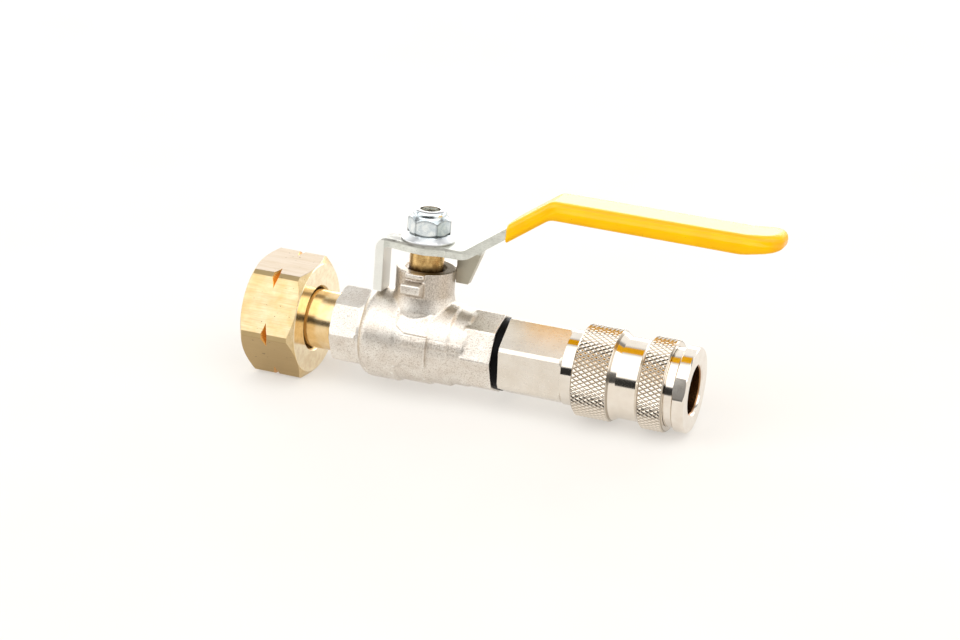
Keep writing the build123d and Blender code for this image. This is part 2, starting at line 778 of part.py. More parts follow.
# Lever nut: flange lock nut that clamps the plate down on the stem's shoulder
lock_nut_corner_radius = lock_nut_across_flats / 2 / cos(radians(30))
lock_nut_top = stem_top_plane + lock_nut_height
insert_top = lock_nut_height - insert_below_rim
insert_bottom_plane = stem_top_plane + insert_top - insert_depth
with BuildPart() as lever_nut:
    with BuildSketch(Plane.XY.offset(stem_top_plane)):
        with Locations((stem_x, 0)):
            RegularPolygon(lock_nut_across_flats / 2, 6, major_radius=False, rotation=lock_nut_turn)
    extrude(amount=lock_nut_hex_top)
    with BuildSketch(Plane.XZ):
        with BuildLine():
            Polyline(
                (stem_x, stem_top_plane),
                (stem_x + lock_nut_corner_radius, stem_top_plane),
                (stem_x + lock_nut_corner_radius, stem_top_plane + lock_nut_hex_top - lock_nut_cone_drop),
                (stem_x + lock_nut_collar_radius, stem_top_plane + lock_nut_hex_top),
                (stem_x, stem_top_plane + lock_nut_hex_top),
                close=True,
            )
        make_face()
    revolve(axis=Axis((stem_x, 0, 0), (0, 0, 1)), mode=Mode.INTERSECT)
    with BuildSketch(Plane.XZ):
        with BuildLine():
            Polyline(
                (stem_x, stem_top_plane),
                (stem_x + lock_nut_flange_radius, stem_top_plane),
                (stem_x + lock_nut_flange_radius, stem_top_plane + lock_nut_flange_edge),
                (stem_x + lock_nut_flange_top_radius, stem_top_plane + lock_nut_flange_height),
                (stem_x, stem_top_plane + lock_nut_flange_height),
                close=True,
            )
        make_face()
    revolve(axis=Axis((stem_x, 0, 0), (0, 0, 1)))
    with BuildSketch(Plane.XZ):
        with BuildLine():
            Polyline(
                (stem_x, stem_top_plane + lock_nut_hex_top),
                (stem_x + lock_nut_collar_radius, stem_top_plane + lock_nut_hex_top),
                (stem_x + lock_nut_collar_radius, stem_top_plane + lock_nut_collar_shoulder),
                (stem_x + lock_nut_collar_radius - lock_nut_rim_roll, lock_nut_top - lock_nut_rim_roll),
                (stem_x + lock_nut_rim_radius, lock_nut_top),
                (stem_x, lock_nut_top),
                close=True,
            )
        make_face()
    revolve(axis=Axis((stem_x, 0, 0), (0, 0, 1)))
    with BuildSketch(Plane.XY.offset(stem_top_plane)):
        with Locations((stem_x, 0)):
            Circle(stem_thread_radius + thread_clearance)
    extrude(amount=insert_top - insert_depth, mode=Mode.SUBTRACT)
    with BuildSketch(Plane.XY.offset(insert_bottom_plane)):
        with Locations((stem_x, 0)):
            Circle(insert_outer_radius)
    extrude(amount=insert_depth, mode=Mode.SUBTRACT)
    with BuildSketch(Plane.XY.offset(insert_bottom_plane)):
        with Locations((stem_x, 0)):
            Circle(lock_nut_lip_radius)
    extrude(amount=insert_depth + insert_below_rim, mode=Mode.SUBTRACT)
lever_nut.part.label = "lever_nut"
export_step(lever_nut.part, "parts/lever_nut.step")


# Lock ring: nylon insert under the nut's rolled rim, pressed open by the stem's end
with BuildPart() as lever_nut_insert:
    with BuildSketch(Plane.XY.offset(insert_bottom_plane + ring_clearance)):
        with Locations((stem_x, 0)):
            Circle(insert_outer_radius - ring_clearance)
            Circle(insert_hole_radius, mode=Mode.SUBTRACT)
    extrude(amount=insert_depth - 2 * ring_clearance)
    with BuildSketch(Plane.XY.offset(insert_bottom_plane)):
        with Locations((stem_x, 0)):
            Circle(stem_thread_radius + ring_clearance)
    extrude(amount=stem_top + ring_clearance - insert_bottom_plane, mode=Mode.SUBTRACT)
lever_nut_insert.part.label = "lever_nut_insert"
export_step(lever_nut_insert.part, "parts/lever_nut_insert.step")


# Outlet seal: rubber ring squeezed between the valve and the coupling
with BuildPart() as outlet_seal:
    with BuildSketch(Plane.YZ.offset(outlet_x)):
        Circle(outlet_seal_outer_radius)
        Circle(pipe_thread_radius + ring_clearance, mode=Mode.SUBTRACT)
    extrude(amount=outlet_seal_thickness)
    outer_edges = outlet_seal.edges().filter_by(GeomType.CIRCLE).group_by(SortBy.RADIUS)[-1]
    fillet(outer_edges, radius=outlet_seal_edge)
outlet_seal.part.label = "outlet_seal"
export_step(outlet_seal.part, "parts/outlet_seal.step")


# Coupling adapter: hexagon with a male pipe thread behind and a threaded collar in front
coupling_corner_radius = coupling_hex_across_flats / 2 / cos(radians(30))
adapter_thread_x = outlet_x - coupling_thread_length
body_thread_x = spigot_x - spigot_end_gap
poppet_chamber_x = body_thread_x - poppet_chamber_length
with BuildPart() as coupling_adapter:
    with BuildSketch(Plane.YZ.offset(coupling_x)):
        RegularPolygon(coupling_hex_across_flats / 2, 6, major_radius=False, rotation=coupling_hex_turn)
    extrude(amount=coupling_hex_length)
    with BuildSketch(Plane.XZ):
        with BuildLine():
            Polyline(
                (coupling_x, 0),
                (coupling_x, coupling_corner_radius - coupling_hex_chamfer),
                (coupling_x + coupling_hex_rear_run, coupling_corner_radius),
                (hex_end_x - coupling_hex_front_run, coupling_corner_radius),
                (hex_end_x, coupling_corner_radius - coupling_hex_front_chamfer),
                (hex_end_x, 0),
                close=True,
            )
        make_face()
    revolve(axis=Axis.X, mode=Mode.INTERSECT)
    with BuildSketch(Plane.XZ):
        with BuildLine():
            Polyline(
                (adapter_thread_x, 0),
                (adapter_thread_x, pipe_thread_radius - pipe_thread_chamfer),
                (adapter_thread_x + pipe_thread_chamfer, pipe_thread_radius),
                (coupling_x, pipe_thread_radius),
                (coupling_x, adapter_core_radius),
                (hex_end_x, adapter_core_radius),
                (hex_end_x, collar_radius),
                (adapter_end_x, collar_radius),
                (adapter_end_x, 0),
                close=True,
            )
        make_face()
    revolve(axis=Axis.X)
    with BuildSketch(Plane.XZ):
        with BuildLine():
            Polyline(
                (adapter_thread_x, 0),
                (adapter_thread_x, flow_radius),
                (poppet_chamber_x, flow_radius),
                (poppet_chamber_x, poppet_chamber_radius),
                (body_thread_x, poppet_chamber_radius),
                (body_thread_x, body_thread_radius + thread_clearance),
                (adapter_end_x, body_thread_radius + thread_clearance),
                (adapter_end_x, 0),
                close=True,
            )
        make_face()
    revolve(axis=Axis.X, mode=Mode.SUBTRACT)
coupling_adapter.part.label = "coupling_adapter"
export_step(coupling_adapter.part, "parts/coupling_adapter.step")


# Coupling body: barrel with the plug bore, ball pockets, front shoulder and flange
guide_step_x = nose_x - plug_guide_chamfer - plug_guide_length
plug_floor_x = nose_x - plug_bore_depth
plug_seal_x = nose_x - plug_seal_depth
plug_groove_radius = seal_bore_radius - plug_seal_stand_out + 2 * plug_seal_section_radius + ring_clearance
pocket_radius = locking_ball_radius + locking_ball_clearance
with BuildPart() as ball_pocket:
    with Locations((locking_ball_x, 0, locking_ball_pitch_radius)):
        Sphere(pocket_radius)
    with BuildSketch(Plane.XY.offset(locking_ball_pitch_radius)):
        with Locations((locking_ball_x, 0)):
            Circle(pocket_radius)
    extrude(amount=barrel_radius + ball_pocket_overrun - locking_ball_pitch_radius)
with BuildPart() as coupling_body:
    with BuildSketch(Plane.XZ):
        with BuildLine():
            Polyline(
                (spigot_x, spigot_chamber_radius),
                (spigot_x, body_thread_radius),
                (adapter_end_x, body_thread_radius),
                (adapter_end_x, barrel_radius),
                (barrel_end_x, barrel_radius),
                (barrel_end_x, guide_radius),
                (shoulder_x, guide_radius),
                (shoulder_x, shoulder_radius),
                (flange_x, shoulder_radius),
                (flange_x, flange_radius - flange_chamfer),
                (flange_x + flange_chamfer, flange_radius),
                (nose_x - flange_chamfer, flange_radius),
                (nose_x, flange_radius - flange_chamfer),
                (nose_x, plug_guide_radius + plug_guide_chamfer),
                (nose_x - plug_guide_chamfer, plug_guide_radius),
                (guide_step_x, plug_guide_radius),
                (guide_step_x, seal_bore_radius),
                (plug_seal_x + plug_seal_groove_width / 2, seal_bore_radius),
                (plug_seal_x + plug_seal_groove_width / 2, plug_groove_radius),
                (plug_seal_x - plug_seal_groove_width / 2, plug_groove_radius),
                (plug_seal_x - plug_seal_groove_width / 2, seal_bore_radius),
                (plug_floor_x, seal_bore_radius),
                (plug_floor_x, passage_radius),
                (seat_x, passage_radius),
                (seat_x, spigot_chamber_radius),
                close=True,
            )
        make_face()
    revolve(axis=Axis.X)
    for number in range(locking_ball_count):
        add(ball_pocket.part.rotate(Axis.X, 360 / locking_ball_count * number), mode=Mode.SUBTRACT)
coupling_body.part.label = "coupling_body"
export_step(coupling_body.part, "parts/coupling_body.step")


# Plug seal: O-ring in the bore behind the balls
with BuildPart() as plug_seal:
    with BuildSketch(Plane.XZ):
        with Locations((plug_seal_x, seal_bore_radius - plug_seal_stand_out + plug_seal_section_radius)):
            Circle(plug_seal_section_radius)
    revolve(axis=Axis.X)
plug_seal.part.label = "plug_seal"
export_step(plug_seal.part, "parts/plug_seal.step")


# Locking balls: they stand out into the bore and hold the plug's groove
for number in range(locking_ball_count):
    ball_angle = radians(360 / locking_ball_count * number)
    with BuildPart() as locking_ball:
        with Locations((
            locking_ball_x,
            -locking_ball_pitch_radius * sin(ball_angle),
            locking_ball_pitch_radius * cos(ball_angle),
        )):
            Sphere(locking_ball_radius)
    locking_ball.part.label = f"locking_ball_{number + 1}"
    export_step(locking_ball.part, f"parts/locking_ball_{number + 1}.step")


# Sleeve: knurled ring whose inner cone lets the balls out when it is pulled back
rear_band_end_x = sleeve_x + rear_band_length
waist_start_x = rear_band_end_x + rear_bevel_run
waist_end_x = waist_start_x + waist_length
front_band_x = waist_end_x + front_bevel_run
cone_angle = atan(lock_cone_slope)
cone_radius_at_ball = locking_ball_pitch_radius + pocket_radius / cos(cone_angle)
sleeve_land_radius = barrel_radius + running_clearance
cone_start_x = locking_ball_x - (cone_radius_at_ball - sleeve_land_radius) / lock_cone_slope
cone_end_x = sleeve_end_x - sleeve_cone_end
cone_end_radius = cone_radius_at_ball + (cone_end_x - locking_ball_x) * lock_cone_slope
sleeve_lip_x = sleeve_end_x - sleeve_lip_length
sleeve_rear_bore = collar_radius + running_clearance
with BuildPart() as coupling_sleeve:
    with BuildSketch(Plane.XZ):
        with BuildLine():
            Polyline(
                (sleeve_x, sleeve_rear_bore + sleeve_bore_chamfer),
                (sleeve_x, sleeve_radius - sleeve_edge_bevel),
                (sleeve_x + sleeve_edge_bevel, sleeve_radius),
                (rear_band_end_x, sleeve_radius),
                (waist_start_x, sleeve_waist_radius),
                (waist_end_x, sleeve_waist_radius),
                (front_band_x, sleeve_radius),
                (sleeve_end_x - sleeve_edge_bevel, sleeve_radius),
                (sleeve_end_x, sleeve_radius - sleeve_edge_bevel),
                (sleeve_end_x, guide_radius + running_clearance),
                (sleeve_lip_x, guide_radius + running_clearance),
                (sleeve_lip_x, cone_end_radius),
                (cone_end_x, cone_end_radius),
                (cone_start_x, sleeve_land_radius),
                (sleeve_shoulder_x, sleeve_land_radius),
                (sleeve_shoulder_x, sleeve_rear_bore),
                (sleeve_x + sleeve_bore_chamfer, sleeve_rear_bore),
                close=True,
            )
        make_face()
    revolve(axis=Axis.X)
coupling_sleeve.part.label = "coupling_sleeve"
export_step(coupling_sleeve.part, "parts/coupling_sleeve.step")


# Sleeve washer: ring that takes the spring's push, so that the sleeve turns freely
washer_x = sleeve_shoulder_x - ring_clearance - sleeve_washer_thickness
with BuildPart() as sleeve_washer:
    with BuildSketch(Plane.YZ.offset(washer_x)):
        Circle(sleeve_rear_bore - running_clearance)
        Circle(barrel_radius + running_clearance, mode=Mode.SUBTRACT)
    extrude(amount=sleeve_washer_thickness)
sleeve_washer.part.label = "sleeve_washer"
export_step(sleeve_washer.part, "parts/sleeve_washer.step")


# Sleeve spring: coil between the adapter's end and the washer
sleeve_spring_length = washer_x - adapter_end_x - 2 * spring_wire_radius - 2 * face_clearance
sleeve_spring_mean_radius = (barrel_radius + sleeve_rear_bore) / 2
with BuildPart() as sleeve_spring:
    with BuildLine() as sleeve_coil:
        Helix(
            pitch=sleeve_spring_length / sleeve_spring_turns,
            height=sleeve_spring_length,
            radius=sleeve_spring_mean_radius,
            center=(adapter_end_x + spring_wire_radius + face_clearance, 0, 0),
            direction=(1, 0, 0),
        )
    with BuildSketch(Plane(sleeve_coil.line @ 0, z_dir=sleeve_coil.line % 0)):
        Circle(spring_wire_radius)
    sweep(is_frenet=True)
sleeve_spring.part.label = "sleeve_spring"
export_step(sleeve_spring.part, "parts/sleeve_spring.step")


# Poppet: spring-loaded valve that a plug pushes off its seat
poppet_front_x = seat_x - face_clearance
poppet_head_front_x = poppet_front_x - poppet_seal_thickness
poppet_head_x = poppet_head_front_x - poppet_head_thickness
poppet_stub_x = poppet_head_x - poppet_stub_length
with BuildPart() as poppet:
    with BuildSketch(Plane.XZ):
        with BuildLine():
            Polyline(
                (poppet_stub_x, 0),
                (poppet_stub_x, poppet_stub_radius - poppet_stub_chamfer),
                (poppet_stub_x + poppet_stub_chamfer, poppet_stub_radius),
                (poppet_head_x, poppet_stub_radius),
                (poppet_head_x, poppet_head_radius),
                (poppet_head_front_x, poppet_head_radius),
                (poppet_head_front_x, poppet_hub_radius),
                (poppet_front_x, poppet_hub_radius),
                (poppet_front_x, 0),
                close=True,
            )
        make_face()
    revolve(axis=Axis.X)
    with BuildSketch(Plane.YZ.offset(poppet_front_x)):
        Circle(poppet_wing_thickness)
        with PolarLocations(0, poppet_wing_count):
            Rectangle(
                passage_radius - running_clearance, poppet_wing_thickness,
                align=(Align.MIN, Align.CENTER),
            )
    extrude(amount=poppet_reach)
poppet.part.label = "poppet"
export_step(poppet.part, "parts/poppet.step")


# Poppet seal: flat ring on the poppet's face
with BuildPart() as poppet_seal:
    with BuildSketch(Plane.YZ.offset(poppet_head_front_x)):
        Circle(poppet_seal_radius)
        Circle(poppet_hub_radius + ring_clearance, mode=Mode.SUBTRACT)
    extrude(amount=poppet_seal_thickness)
poppet_seal.part.label = "poppet_seal"
export_step(poppet_seal.part, "parts/poppet_seal.step")


# Poppet spring: coil between the adapter's inner step and the poppet's head
poppet_spring_length = poppet_head_x - poppet_chamber_x - 2 * spring_wire_radius - 2 * face_clearance
with BuildPart() as poppet_spring:
    with BuildLine() as poppet_coil:
        Helix(
            pitch=poppet_spring_length / poppet_spring_turns,
            height=poppet_spring_length,
            radius=poppet_spring_mean_radius,
            center=(poppet_chamber_x + spring_wire_radius + face_clearance, 0, 0),
            direction=(1, 0, 0),
        )
    with BuildSketch(Plane(poppet_coil.line @ 0, z_dir=poppet_coil.line % 0)):
        Circle(spring_wire_radius)
    sweep(is_frenet=True)
poppet_spring.part.label = "poppet_spring"
export_step(poppet_spring.part, "parts/poppet_spring.step")

print("stem axis at x =", stem_x, "nose at x =", nose_x)
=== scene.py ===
import math

import bmesh
import bpy
from mathutils import Matrix, Vector


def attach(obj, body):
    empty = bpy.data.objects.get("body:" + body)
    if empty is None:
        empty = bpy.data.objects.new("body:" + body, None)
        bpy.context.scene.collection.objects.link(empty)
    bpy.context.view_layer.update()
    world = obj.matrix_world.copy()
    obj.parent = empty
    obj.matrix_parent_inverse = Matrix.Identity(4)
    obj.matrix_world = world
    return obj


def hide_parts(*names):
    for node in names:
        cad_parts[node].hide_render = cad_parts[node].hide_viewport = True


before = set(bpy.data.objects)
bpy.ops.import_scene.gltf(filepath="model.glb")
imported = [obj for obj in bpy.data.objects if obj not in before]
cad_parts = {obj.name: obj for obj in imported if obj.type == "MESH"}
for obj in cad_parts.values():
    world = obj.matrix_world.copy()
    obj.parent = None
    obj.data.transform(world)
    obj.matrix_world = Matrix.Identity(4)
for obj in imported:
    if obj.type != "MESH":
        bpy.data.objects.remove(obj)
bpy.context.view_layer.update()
mm = 0.001


# Union nut: left-hand nut turned from hexagon brass bar, with a notch across every corner
# as the mark of its thread. It hangs on the nipple's collar and turns freely. Its flats
# keep the bar's drawn skin, its two end faces are freshly faced.
class Signal:
    """An output in a material. Sums and products of it add Math nodes."""

    def __init__(self, tree, socket):
        self.tree = tree
        self.socket = socket

    def node(self, kind, settings, sockets):
        """Adds any node: its settings come first, then the values or links of its sockets."""
        made = self.tree.nodes.new("ShaderNode" + kind)
        for name, value in settings.items():
            if name == "stops":
                ramp = made.color_ramp
                while len(ramp.elements) < len(value):
                    ramp.elements.new(0.5)
                for stop, (spot, colour) in zip(ramp.elements, value):
                    stop.position = spot
                    stop.color = (*colour, 1) if isinstance(colour, tuple) else (colour, colour, colour, 1)
            else:
                setattr(made, name, value)
        for name, value in sockets.items():
            if isinstance(name, int):
                into = made.inputs[name]
            else:
                into = next(one for one in made.inputs if one.name == name and one.enabled)
            if isinstance(value, Signal):
                self.tree.links.new(value.socket, into)
            elif isinstance(value, tuple) and len(value) == 3 and into.type == "RGBA":
                into.default_value = (*value, 1)
            else:
                into.default_value = value
        return Signal(self.tree, next(one for one in made.outputs if one.enabled))

    def output(self, name):
        """Another output of the node that this one comes from."""
        return Signal(self.tree, self.socket.node.outputs[name])

    def math(self, operation, first, second):
        return self.node("Math", {"operation": operation}, {0: first, 1: second})

    def __add__(self, other):
        return self.math("ADD", self, other)

    def __radd__(self, other):
        return self.math("ADD", other, self)

    def __sub__(self, other):
        return self.math("SUBTRACT", self, other)

    def __rsub__(self, other):
        return self.math("SUBTRACT", other, self)

    def __mul__(self, other):
        return self.math("MULTIPLY", self, other)

    def __rmul__(self, other):
        return self.math("MULTIPLY", other, self)


def new_finish(name):
    """Starts a material. Gives it and its Object coordinates."""
    finish = bpy.data.materials.new(name)
    finish.use_nodes = True
    finish.node_tree.nodes.clear()
    place = Signal(finish.node_tree, None).node("TexCoord", {}, {}).output("Object")
    return finish, place


def grain(place, size, detail=3.0, rough=0.55, stretch=(1, 1, 1)):
    """Cloudy noise whose spots are about size millimetres, drawn out along an axis by stretch."""
    shrink = tuple(1 / part for part in stretch)
    scaled = place.node("VectorMath", {"operation": "MULTIPLY"}, {0: place, 1: shrink})
    sockets = {"Vector": scaled, "Scale": 1 / (size * mm), "Detail": detail, "Roughness": rough}
    return place.node("TexNoise", {}, sockets)


def ramp(value, *stops):
    """The value read against stops of a place and a grey or a colour."""
    return value.node("ValToRGB", {"stops": stops}, {"Fac": value})


def mix(factor, first, second):
    """A colour between two, by a factor."""
    kind = {"data_type": "RGBA", "blend_type": "MIX"}
    return factor.node("Mix", kind, {"Factor": factor, "A": first, "B": second})


def surface(finish, place, fixed, **varied):
    """The Principled shader at the end of a material: fixed values, and what changes over the surface."""
    sockets = {**fixed, **{name.replace("_", " "): one for name, one in varied.items()}}
    skin = place.node("BsdfPrincipled", {}, sockets)
    output = finish.node_tree.nodes.new("ShaderNodeOutputMaterial")
    finish.node_tree.links.new(skin.socket, output.inputs["Surface"])


def rough_skin(place, height, depth):
    """A Bump node: the height of 0 to 1 stands for depth in millimetres."""
    return place.node("Bump", {}, {"Height": height, "Distance": depth * mm, "Strength": 1.0})


def put_in_scene(shape, name, finish, body, node):
    """Turns a bmesh into an object that rides on a body and stands for a CAD node."""
    mesh = bpy.data.meshes.new(name)
    shape.to_mesh(mesh)
    shape.free()
    piece = bpy.data.objects.new(name, mesh)
    bpy.context.scene.collection.objects.link(piece)
    mesh.materials.append(finish)
    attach(piece, body)
    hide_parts(node)
    return piece


def merged_copy(node):
    """A CAD node's solid as a bmesh, its loose triangles joined and its flat faces whole."""
    same_point, flat_within = 0.0005 * mm, math.radians(0.3)
    shape = bmesh.new()
    shape.from_mesh(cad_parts[node].data)
    bmesh.ops.remove_doubles(shape, verts=shape.verts, dist=same_point)
    bmesh.ops.dissolve_limit(shape, angle_limit=flat_within, verts=shape.verts, edges=shape.edges)
    return shape


def break_edges(shape, width, segments=2):
    """Rounds every sharp edge, and smooths the shading of what is flatter."""
    sharp, hard_shading = math.radians(28), math.radians(35)
    edges = [edge for edge in shape.edges if edge.is_manifold and edge.calc_face_angle() > sharp]
    bmesh.ops.bevel(
        shape, geom=edges, offset=width * mm, segments=segments, profile=0.5, affect="EDGES", material=-1,
        clamp_overlap=True, harden_normals=False,
    )
    for face in shape.faces:
        face.smooth = True
    for edge in shape.edges:
        if edge.is_manifold and edge.calc_face_angle() > hard_shading:
            edge.smooth = False


def even_shading(piece):
    """Lets broad faces set the normals, so that they stay flat beside their rounded edges."""
    weighted = piece.modifiers.new("even_shading", "WEIGHTED_NORMAL")
    weighted.keep_sharp = True
    weighted.weight = 90


def thread_ridge(shape, start, end, root, crest, lead):
    """Adds a left-hand ridge along the pipe axis: a blunt tooth swept on its screw line."""
    foot_half, crest_half = lead * 0.46, lead * 0.08
    turns, steps_a_turn = (end - start) / lead, 48
    outline = (
        (start - foot_half, root), (start - crest_half, crest),
        (start + crest_half, crest), (start + foot_half, root),
    )
    tooth = [shape.verts.new(Vector((along * mm, 0, radius * mm))) for along, radius in outline]
    first = shape.faces.new(tooth)
    bmesh.ops.spin(
        shape, geom=tooth + list(first.edges) + [first], cent=(0, 0, 0), axis=(-1, 0, 0),
        dvec=(lead / steps_a_turn * mm, 0, 0), angle=2 * math.pi * turns, steps=round(steps_a_turn * turns),
        use_merge=False,
    )


def reach_along(place, direction):
    """How many millimetres a point lies along a direction."""
    sockets = {0: place, 1: tuple(direction)}
    return place.node("VectorMath", {"operation": "DOT_PRODUCT"}, sockets).output("Value") * 1000.0


def off_pipe(place):
    """How many millimetres a point lies from the pipe axis."""
    across = place.node("VectorMath", {"operation": "MULTIPLY"}, {0: place, 1: (0, 1000, 1000)})
    return place.node("VectorMath", {"operation": "LENGTH"}, {0: across}).output("Value")


def beyond(value, edge, blur=0.05):
    """A mask: 0 below the edge, 1 above it."""
    sockets = {"Value": value, "From Min": edge - blur, "From Max": edge + blur}
    return value.node("MapRange", {"clamp": True}, sockets)


def turning_lines(place, spacing):
    """Fine rings round the pipe axis, on cylinders and on end faces alike, spacing millimetres apart."""
    flat = place.node("CombineXYZ", {}, {"X": reach_along(place, (1, 0, 0)), "Y": off_pipe(place)})
    return place.node("TexNoise", {}, {"Vector": flat, "Scale": 1 / spacing, "Detail": 3.0, "Roughness": 0.6})


def flat_side(degrees):
    """The direction that a flat faces, in degrees up from +Y round the pipe axis."""
    return 0, math.cos(math.radians(degrees)), math.sin(math.radians(degrees))


def mill_land(shape, degrees, reach):
    """Cuts a narrow flat along the pipe, at a reach from the axis, on the side that degrees give."""
    facing = Vector(flat_side(degrees))
    cut = bmesh.ops.bisect_plane(
        shape, geom=shape.verts[:] + shape.edges[:] + shape.faces[:], dist=1e-7,
        plane_co=facing * reach * mm, plane_no=facing, clear_outer=True,
    )
    rim = [part for part in cut["geom_cut"] if isinstance(part, bmesh.types.BMEdge)]
    bmesh.ops.holes_fill(shape, edges=rim)


nut_corner, nut_flat_reach, nut_land_reach = 7.5, 14.9, 16.88
nut_back, nut_front = -4.9, 10.9
notch_middle, notch_floor, notch_slope = 3.0, 15.70, 1.6 / 1.2
nut_thread_root, nut_thread_crest, nut_thread_lead = 10.72, 9.76, 1.814
nut_thread_back, nut_thread_front, nut_thread_sink = -4.3, 3.6, 0.05
nut_bore_half, nut_bore_radius = 4.1, 9.8
bar_shade, bar_light = (0.69, 0.50, 0.23), (0.78, 0.64, 0.41)
bar_top_painted_light, bar_low_painted_shade = (0.60, 0.51, 0.41), (0.44, 0.31, 0.145)
bar_band, bar_scratch, bar_fleck = (0.50, 0.36, 0.18), (0.42, 0.29, 0.14), (0.16, 0.11, 0.05)
land_painted_dark_reflection, notch_brass = (0.40, 0.29, 0.14), (0.66, 0.33, 0.08)
faced_shade, faced_light = (0.91, 0.75, 0.50), (1.0, 0.88, 0.64)

brass_bar, place = new_finish("brass_bar")
drawn = grain(place, size=0.22, stretch=(22, 1, 1))
bands = grain(place, size=1.1, detail=2, stretch=(14, 1, 1))
clouds = grain(place, size=4.0)
flecks = grain(place, size=0.75, detail=1, rough=0.5, stretch=(1.6, 1, 1))
mottle = grain(place, size=1.7)
rings = turning_lines(place, spacing=0.16)
x_reach, radius = reach_along(place, (1, 0, 0)), off_pipe(place)
top_flat = beyond(reach_along(place, flat_side(nut_corner + 90)), nut_flat_reach)
low_flat = beyond(reach_along(place, flat_side(nut_corner + 210)), nut_flat_reach)
faced = beyond(x_reach, nut_front) + beyond(0.0 - x_reach, -nut_back)
notch_side = place.math("ABSOLUTE", x_reach - notch_middle, 0.0) * notch_slope
notch = beyond(radius - notch_side, notch_floor, blur=0.02)
tint = mix(ramp(clouds, (0.30, 0.0), (0.70, 1.0)), bar_shade, bar_light)
# Painted light and shade: the top flat is tinted paler and the low flat darker, as the light falls on them.
tint = mix(top_flat, tint, bar_top_painted_light)
tint = mix(low_flat, tint, bar_low_painted_shade)
tint = mix(ramp(bands, (0.40, 0.0), (0.70, 0.30)), tint, bar_band)
tint = mix(ramp(drawn, (0.45, 0.0), (0.75, 0.40)), tint, bar_scratch)
tint = mix(ramp(flecks, (0.74, 0.0), (0.765, 0.85)), tint, bar_fleck)
# Painted reflection: the narrow corner lands are tinted darker, a dark line along each corner.
tint = mix(beyond(radius, nut_land_reach - 0.02, blur=0.02) * 0.8, tint, land_painted_dark_reflection)
tint = mix(faced, tint, mix(ramp(mottle, (0.36, 0.0), (0.64, 1.0)), faced_shade, faced_light))
tint = mix(notch, tint, notch_brass)
surface(
    brass_bar, place, {"Metallic": 1.0},
    Base_Color=tint, Roughness=0.24 + drawn * 0.16 + bands * 0.06 - notch * 0.12 - faced * 0.20,
    Normal=rough_skin(place, mix(faced, drawn * 0.5 + bands * 0.5, rings * 0.4), depth=0.016),
)

union_nut_shape = merged_copy("union_nut")
for point in union_nut_shape.verts:
    spread = math.hypot(point.co.y, point.co.z)
    if abs(point.co.x) < nut_bore_half * mm and spread < nut_bore_radius * mm:
        point.co.y *= nut_thread_root * mm / spread
        point.co.z *= nut_thread_root * mm / spread
for corner in range(6):
    mill_land(union_nut_shape, degrees=nut_corner + 60 * corner, reach=nut_land_reach)
break_edges(union_nut_shape, width=0.12)
thread_ridge(
    union_nut_shape, nut_thread_back, nut_thread_front, nut_thread_root + nut_thread_sink, nut_thread_crest,
    nut_thread_lead,
)
union_nut = put_in_scene(
    union_nut_shape, "union_nut_dressed", brass_bar, "union_nut", "union_nut",
)
even_shading(union_nut)


# Nipple: turned brass tail that holds the nut by its collar and is screwed and glued into
# the valve's end cap. Its neck is finely turned and picks up the colours round it. A flat
# rubber ring in its face seals on the cylinder valve.
def dressed(node, finish, body, width):
    """A CAD node's solid with its edges broken, in its finish."""
    shape = merged_copy(node)
    break_edges(shape, width)
    even_shading(put_in_scene(shape, node + "_dressed", finish, body, node))


def give_finish(node, finish):
    """A CAD node whose shape is right keeps it, and gets its material."""
    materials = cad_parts[node].data.materials
    materials.clear()
    materials.append(finish)


neck_shade, neck_light = (0.78, 0.55, 0.27), (0.88, 0.68, 0.40)
brass_turned, place = new_finish("brass_turned")
rings = turning_lines(place, spacing=0.12)
clouds = grain(place, size=3.0, detail=2)
surface(
    brass_turned, place, {"Metallic": 1.0},
    Base_Color=mix(ramp(clouds, (0.35, 0.0), (0.7, 1.0)), neck_shade, neck_light),
    Roughness=0.13 + rings * 0.16, Normal=rough_skin(place, rings, depth=0.004),
)
dressed("nipple", brass_turned, "valve", width=0.15)

rubber_black, rubber_dust = (0.002, 0.002, 0.002), (0.007, 0.007, 0.007)
black_rubber, place = new_finish("black_rubber")
pores = grain(place, size=0.25)
dust = grain(place, size=2.0)
surface(
    black_rubber, place, {"Metallic": 0.0, "Specular IOR Level": 0.06},
    Base_Color=mix(ramp(dust, (0.5, 0.0), (0.8, 0.5)), rubber_black, rubber_dust),
    Roughness=0.26 + pores * 0.22, Normal=rough_skin(place, pores, depth=0.008),
)
dressed("cylinder_seal", black_rubber, "valve", width=0.2)


# Valve end cap: octagonal inlet piece of the valve, a nickel-plated forging that is screwed
# into the body against its shoulder. Its flats keep the blasted skin of the forging. The
# body has the same finish, so its boss, the boss's top and its die seam are in it too.
stem_middle = 41.5
boss_foot, boss_face, boss_top_level, boss_top_radius = 12.4, -8.4, 18.9, 7.75
seam_front, seam_back_end, seam_front_end, seam_low, seam_high = 5.0, 40.0, 56.0, 1.2, 3.2
nickel_shade, nickel_light = (0.72, 0.66, 0.59), (0.83, 0.79, 0.73)
sand_stain, pit_stain = (0.42, 0.35, 0.28), (0.34, 0.28, 0.22)
hollow_painted_shade, ridge_shine = (0.26, 0.20, 0.14), (0.90, 0.87, 0.82)
boss_painted_shade_mottle_dark, boss_painted_shade_mottle_light, boss_top_painted_shade = (0.40, 0.34, 0.28), (0.70, 0.64, 0.57), (0.10, 0.070, 0.028)


def off_stem(place):
    """How many millimetres a point lies from the stem's axis."""
    from_stem = place.node("VectorMath", {"operation": "SUBTRACT"}, {0: place, 1: (stem_middle * mm, 0, 0)})
    across = from_stem.node("VectorMath", {"operation": "MULTIPLY"}, {0: from_stem, 1: (1000, 1000, 0)})
    return across.node("VectorMath", {"operation": "LENGTH"}, {0: across}).output("Value")


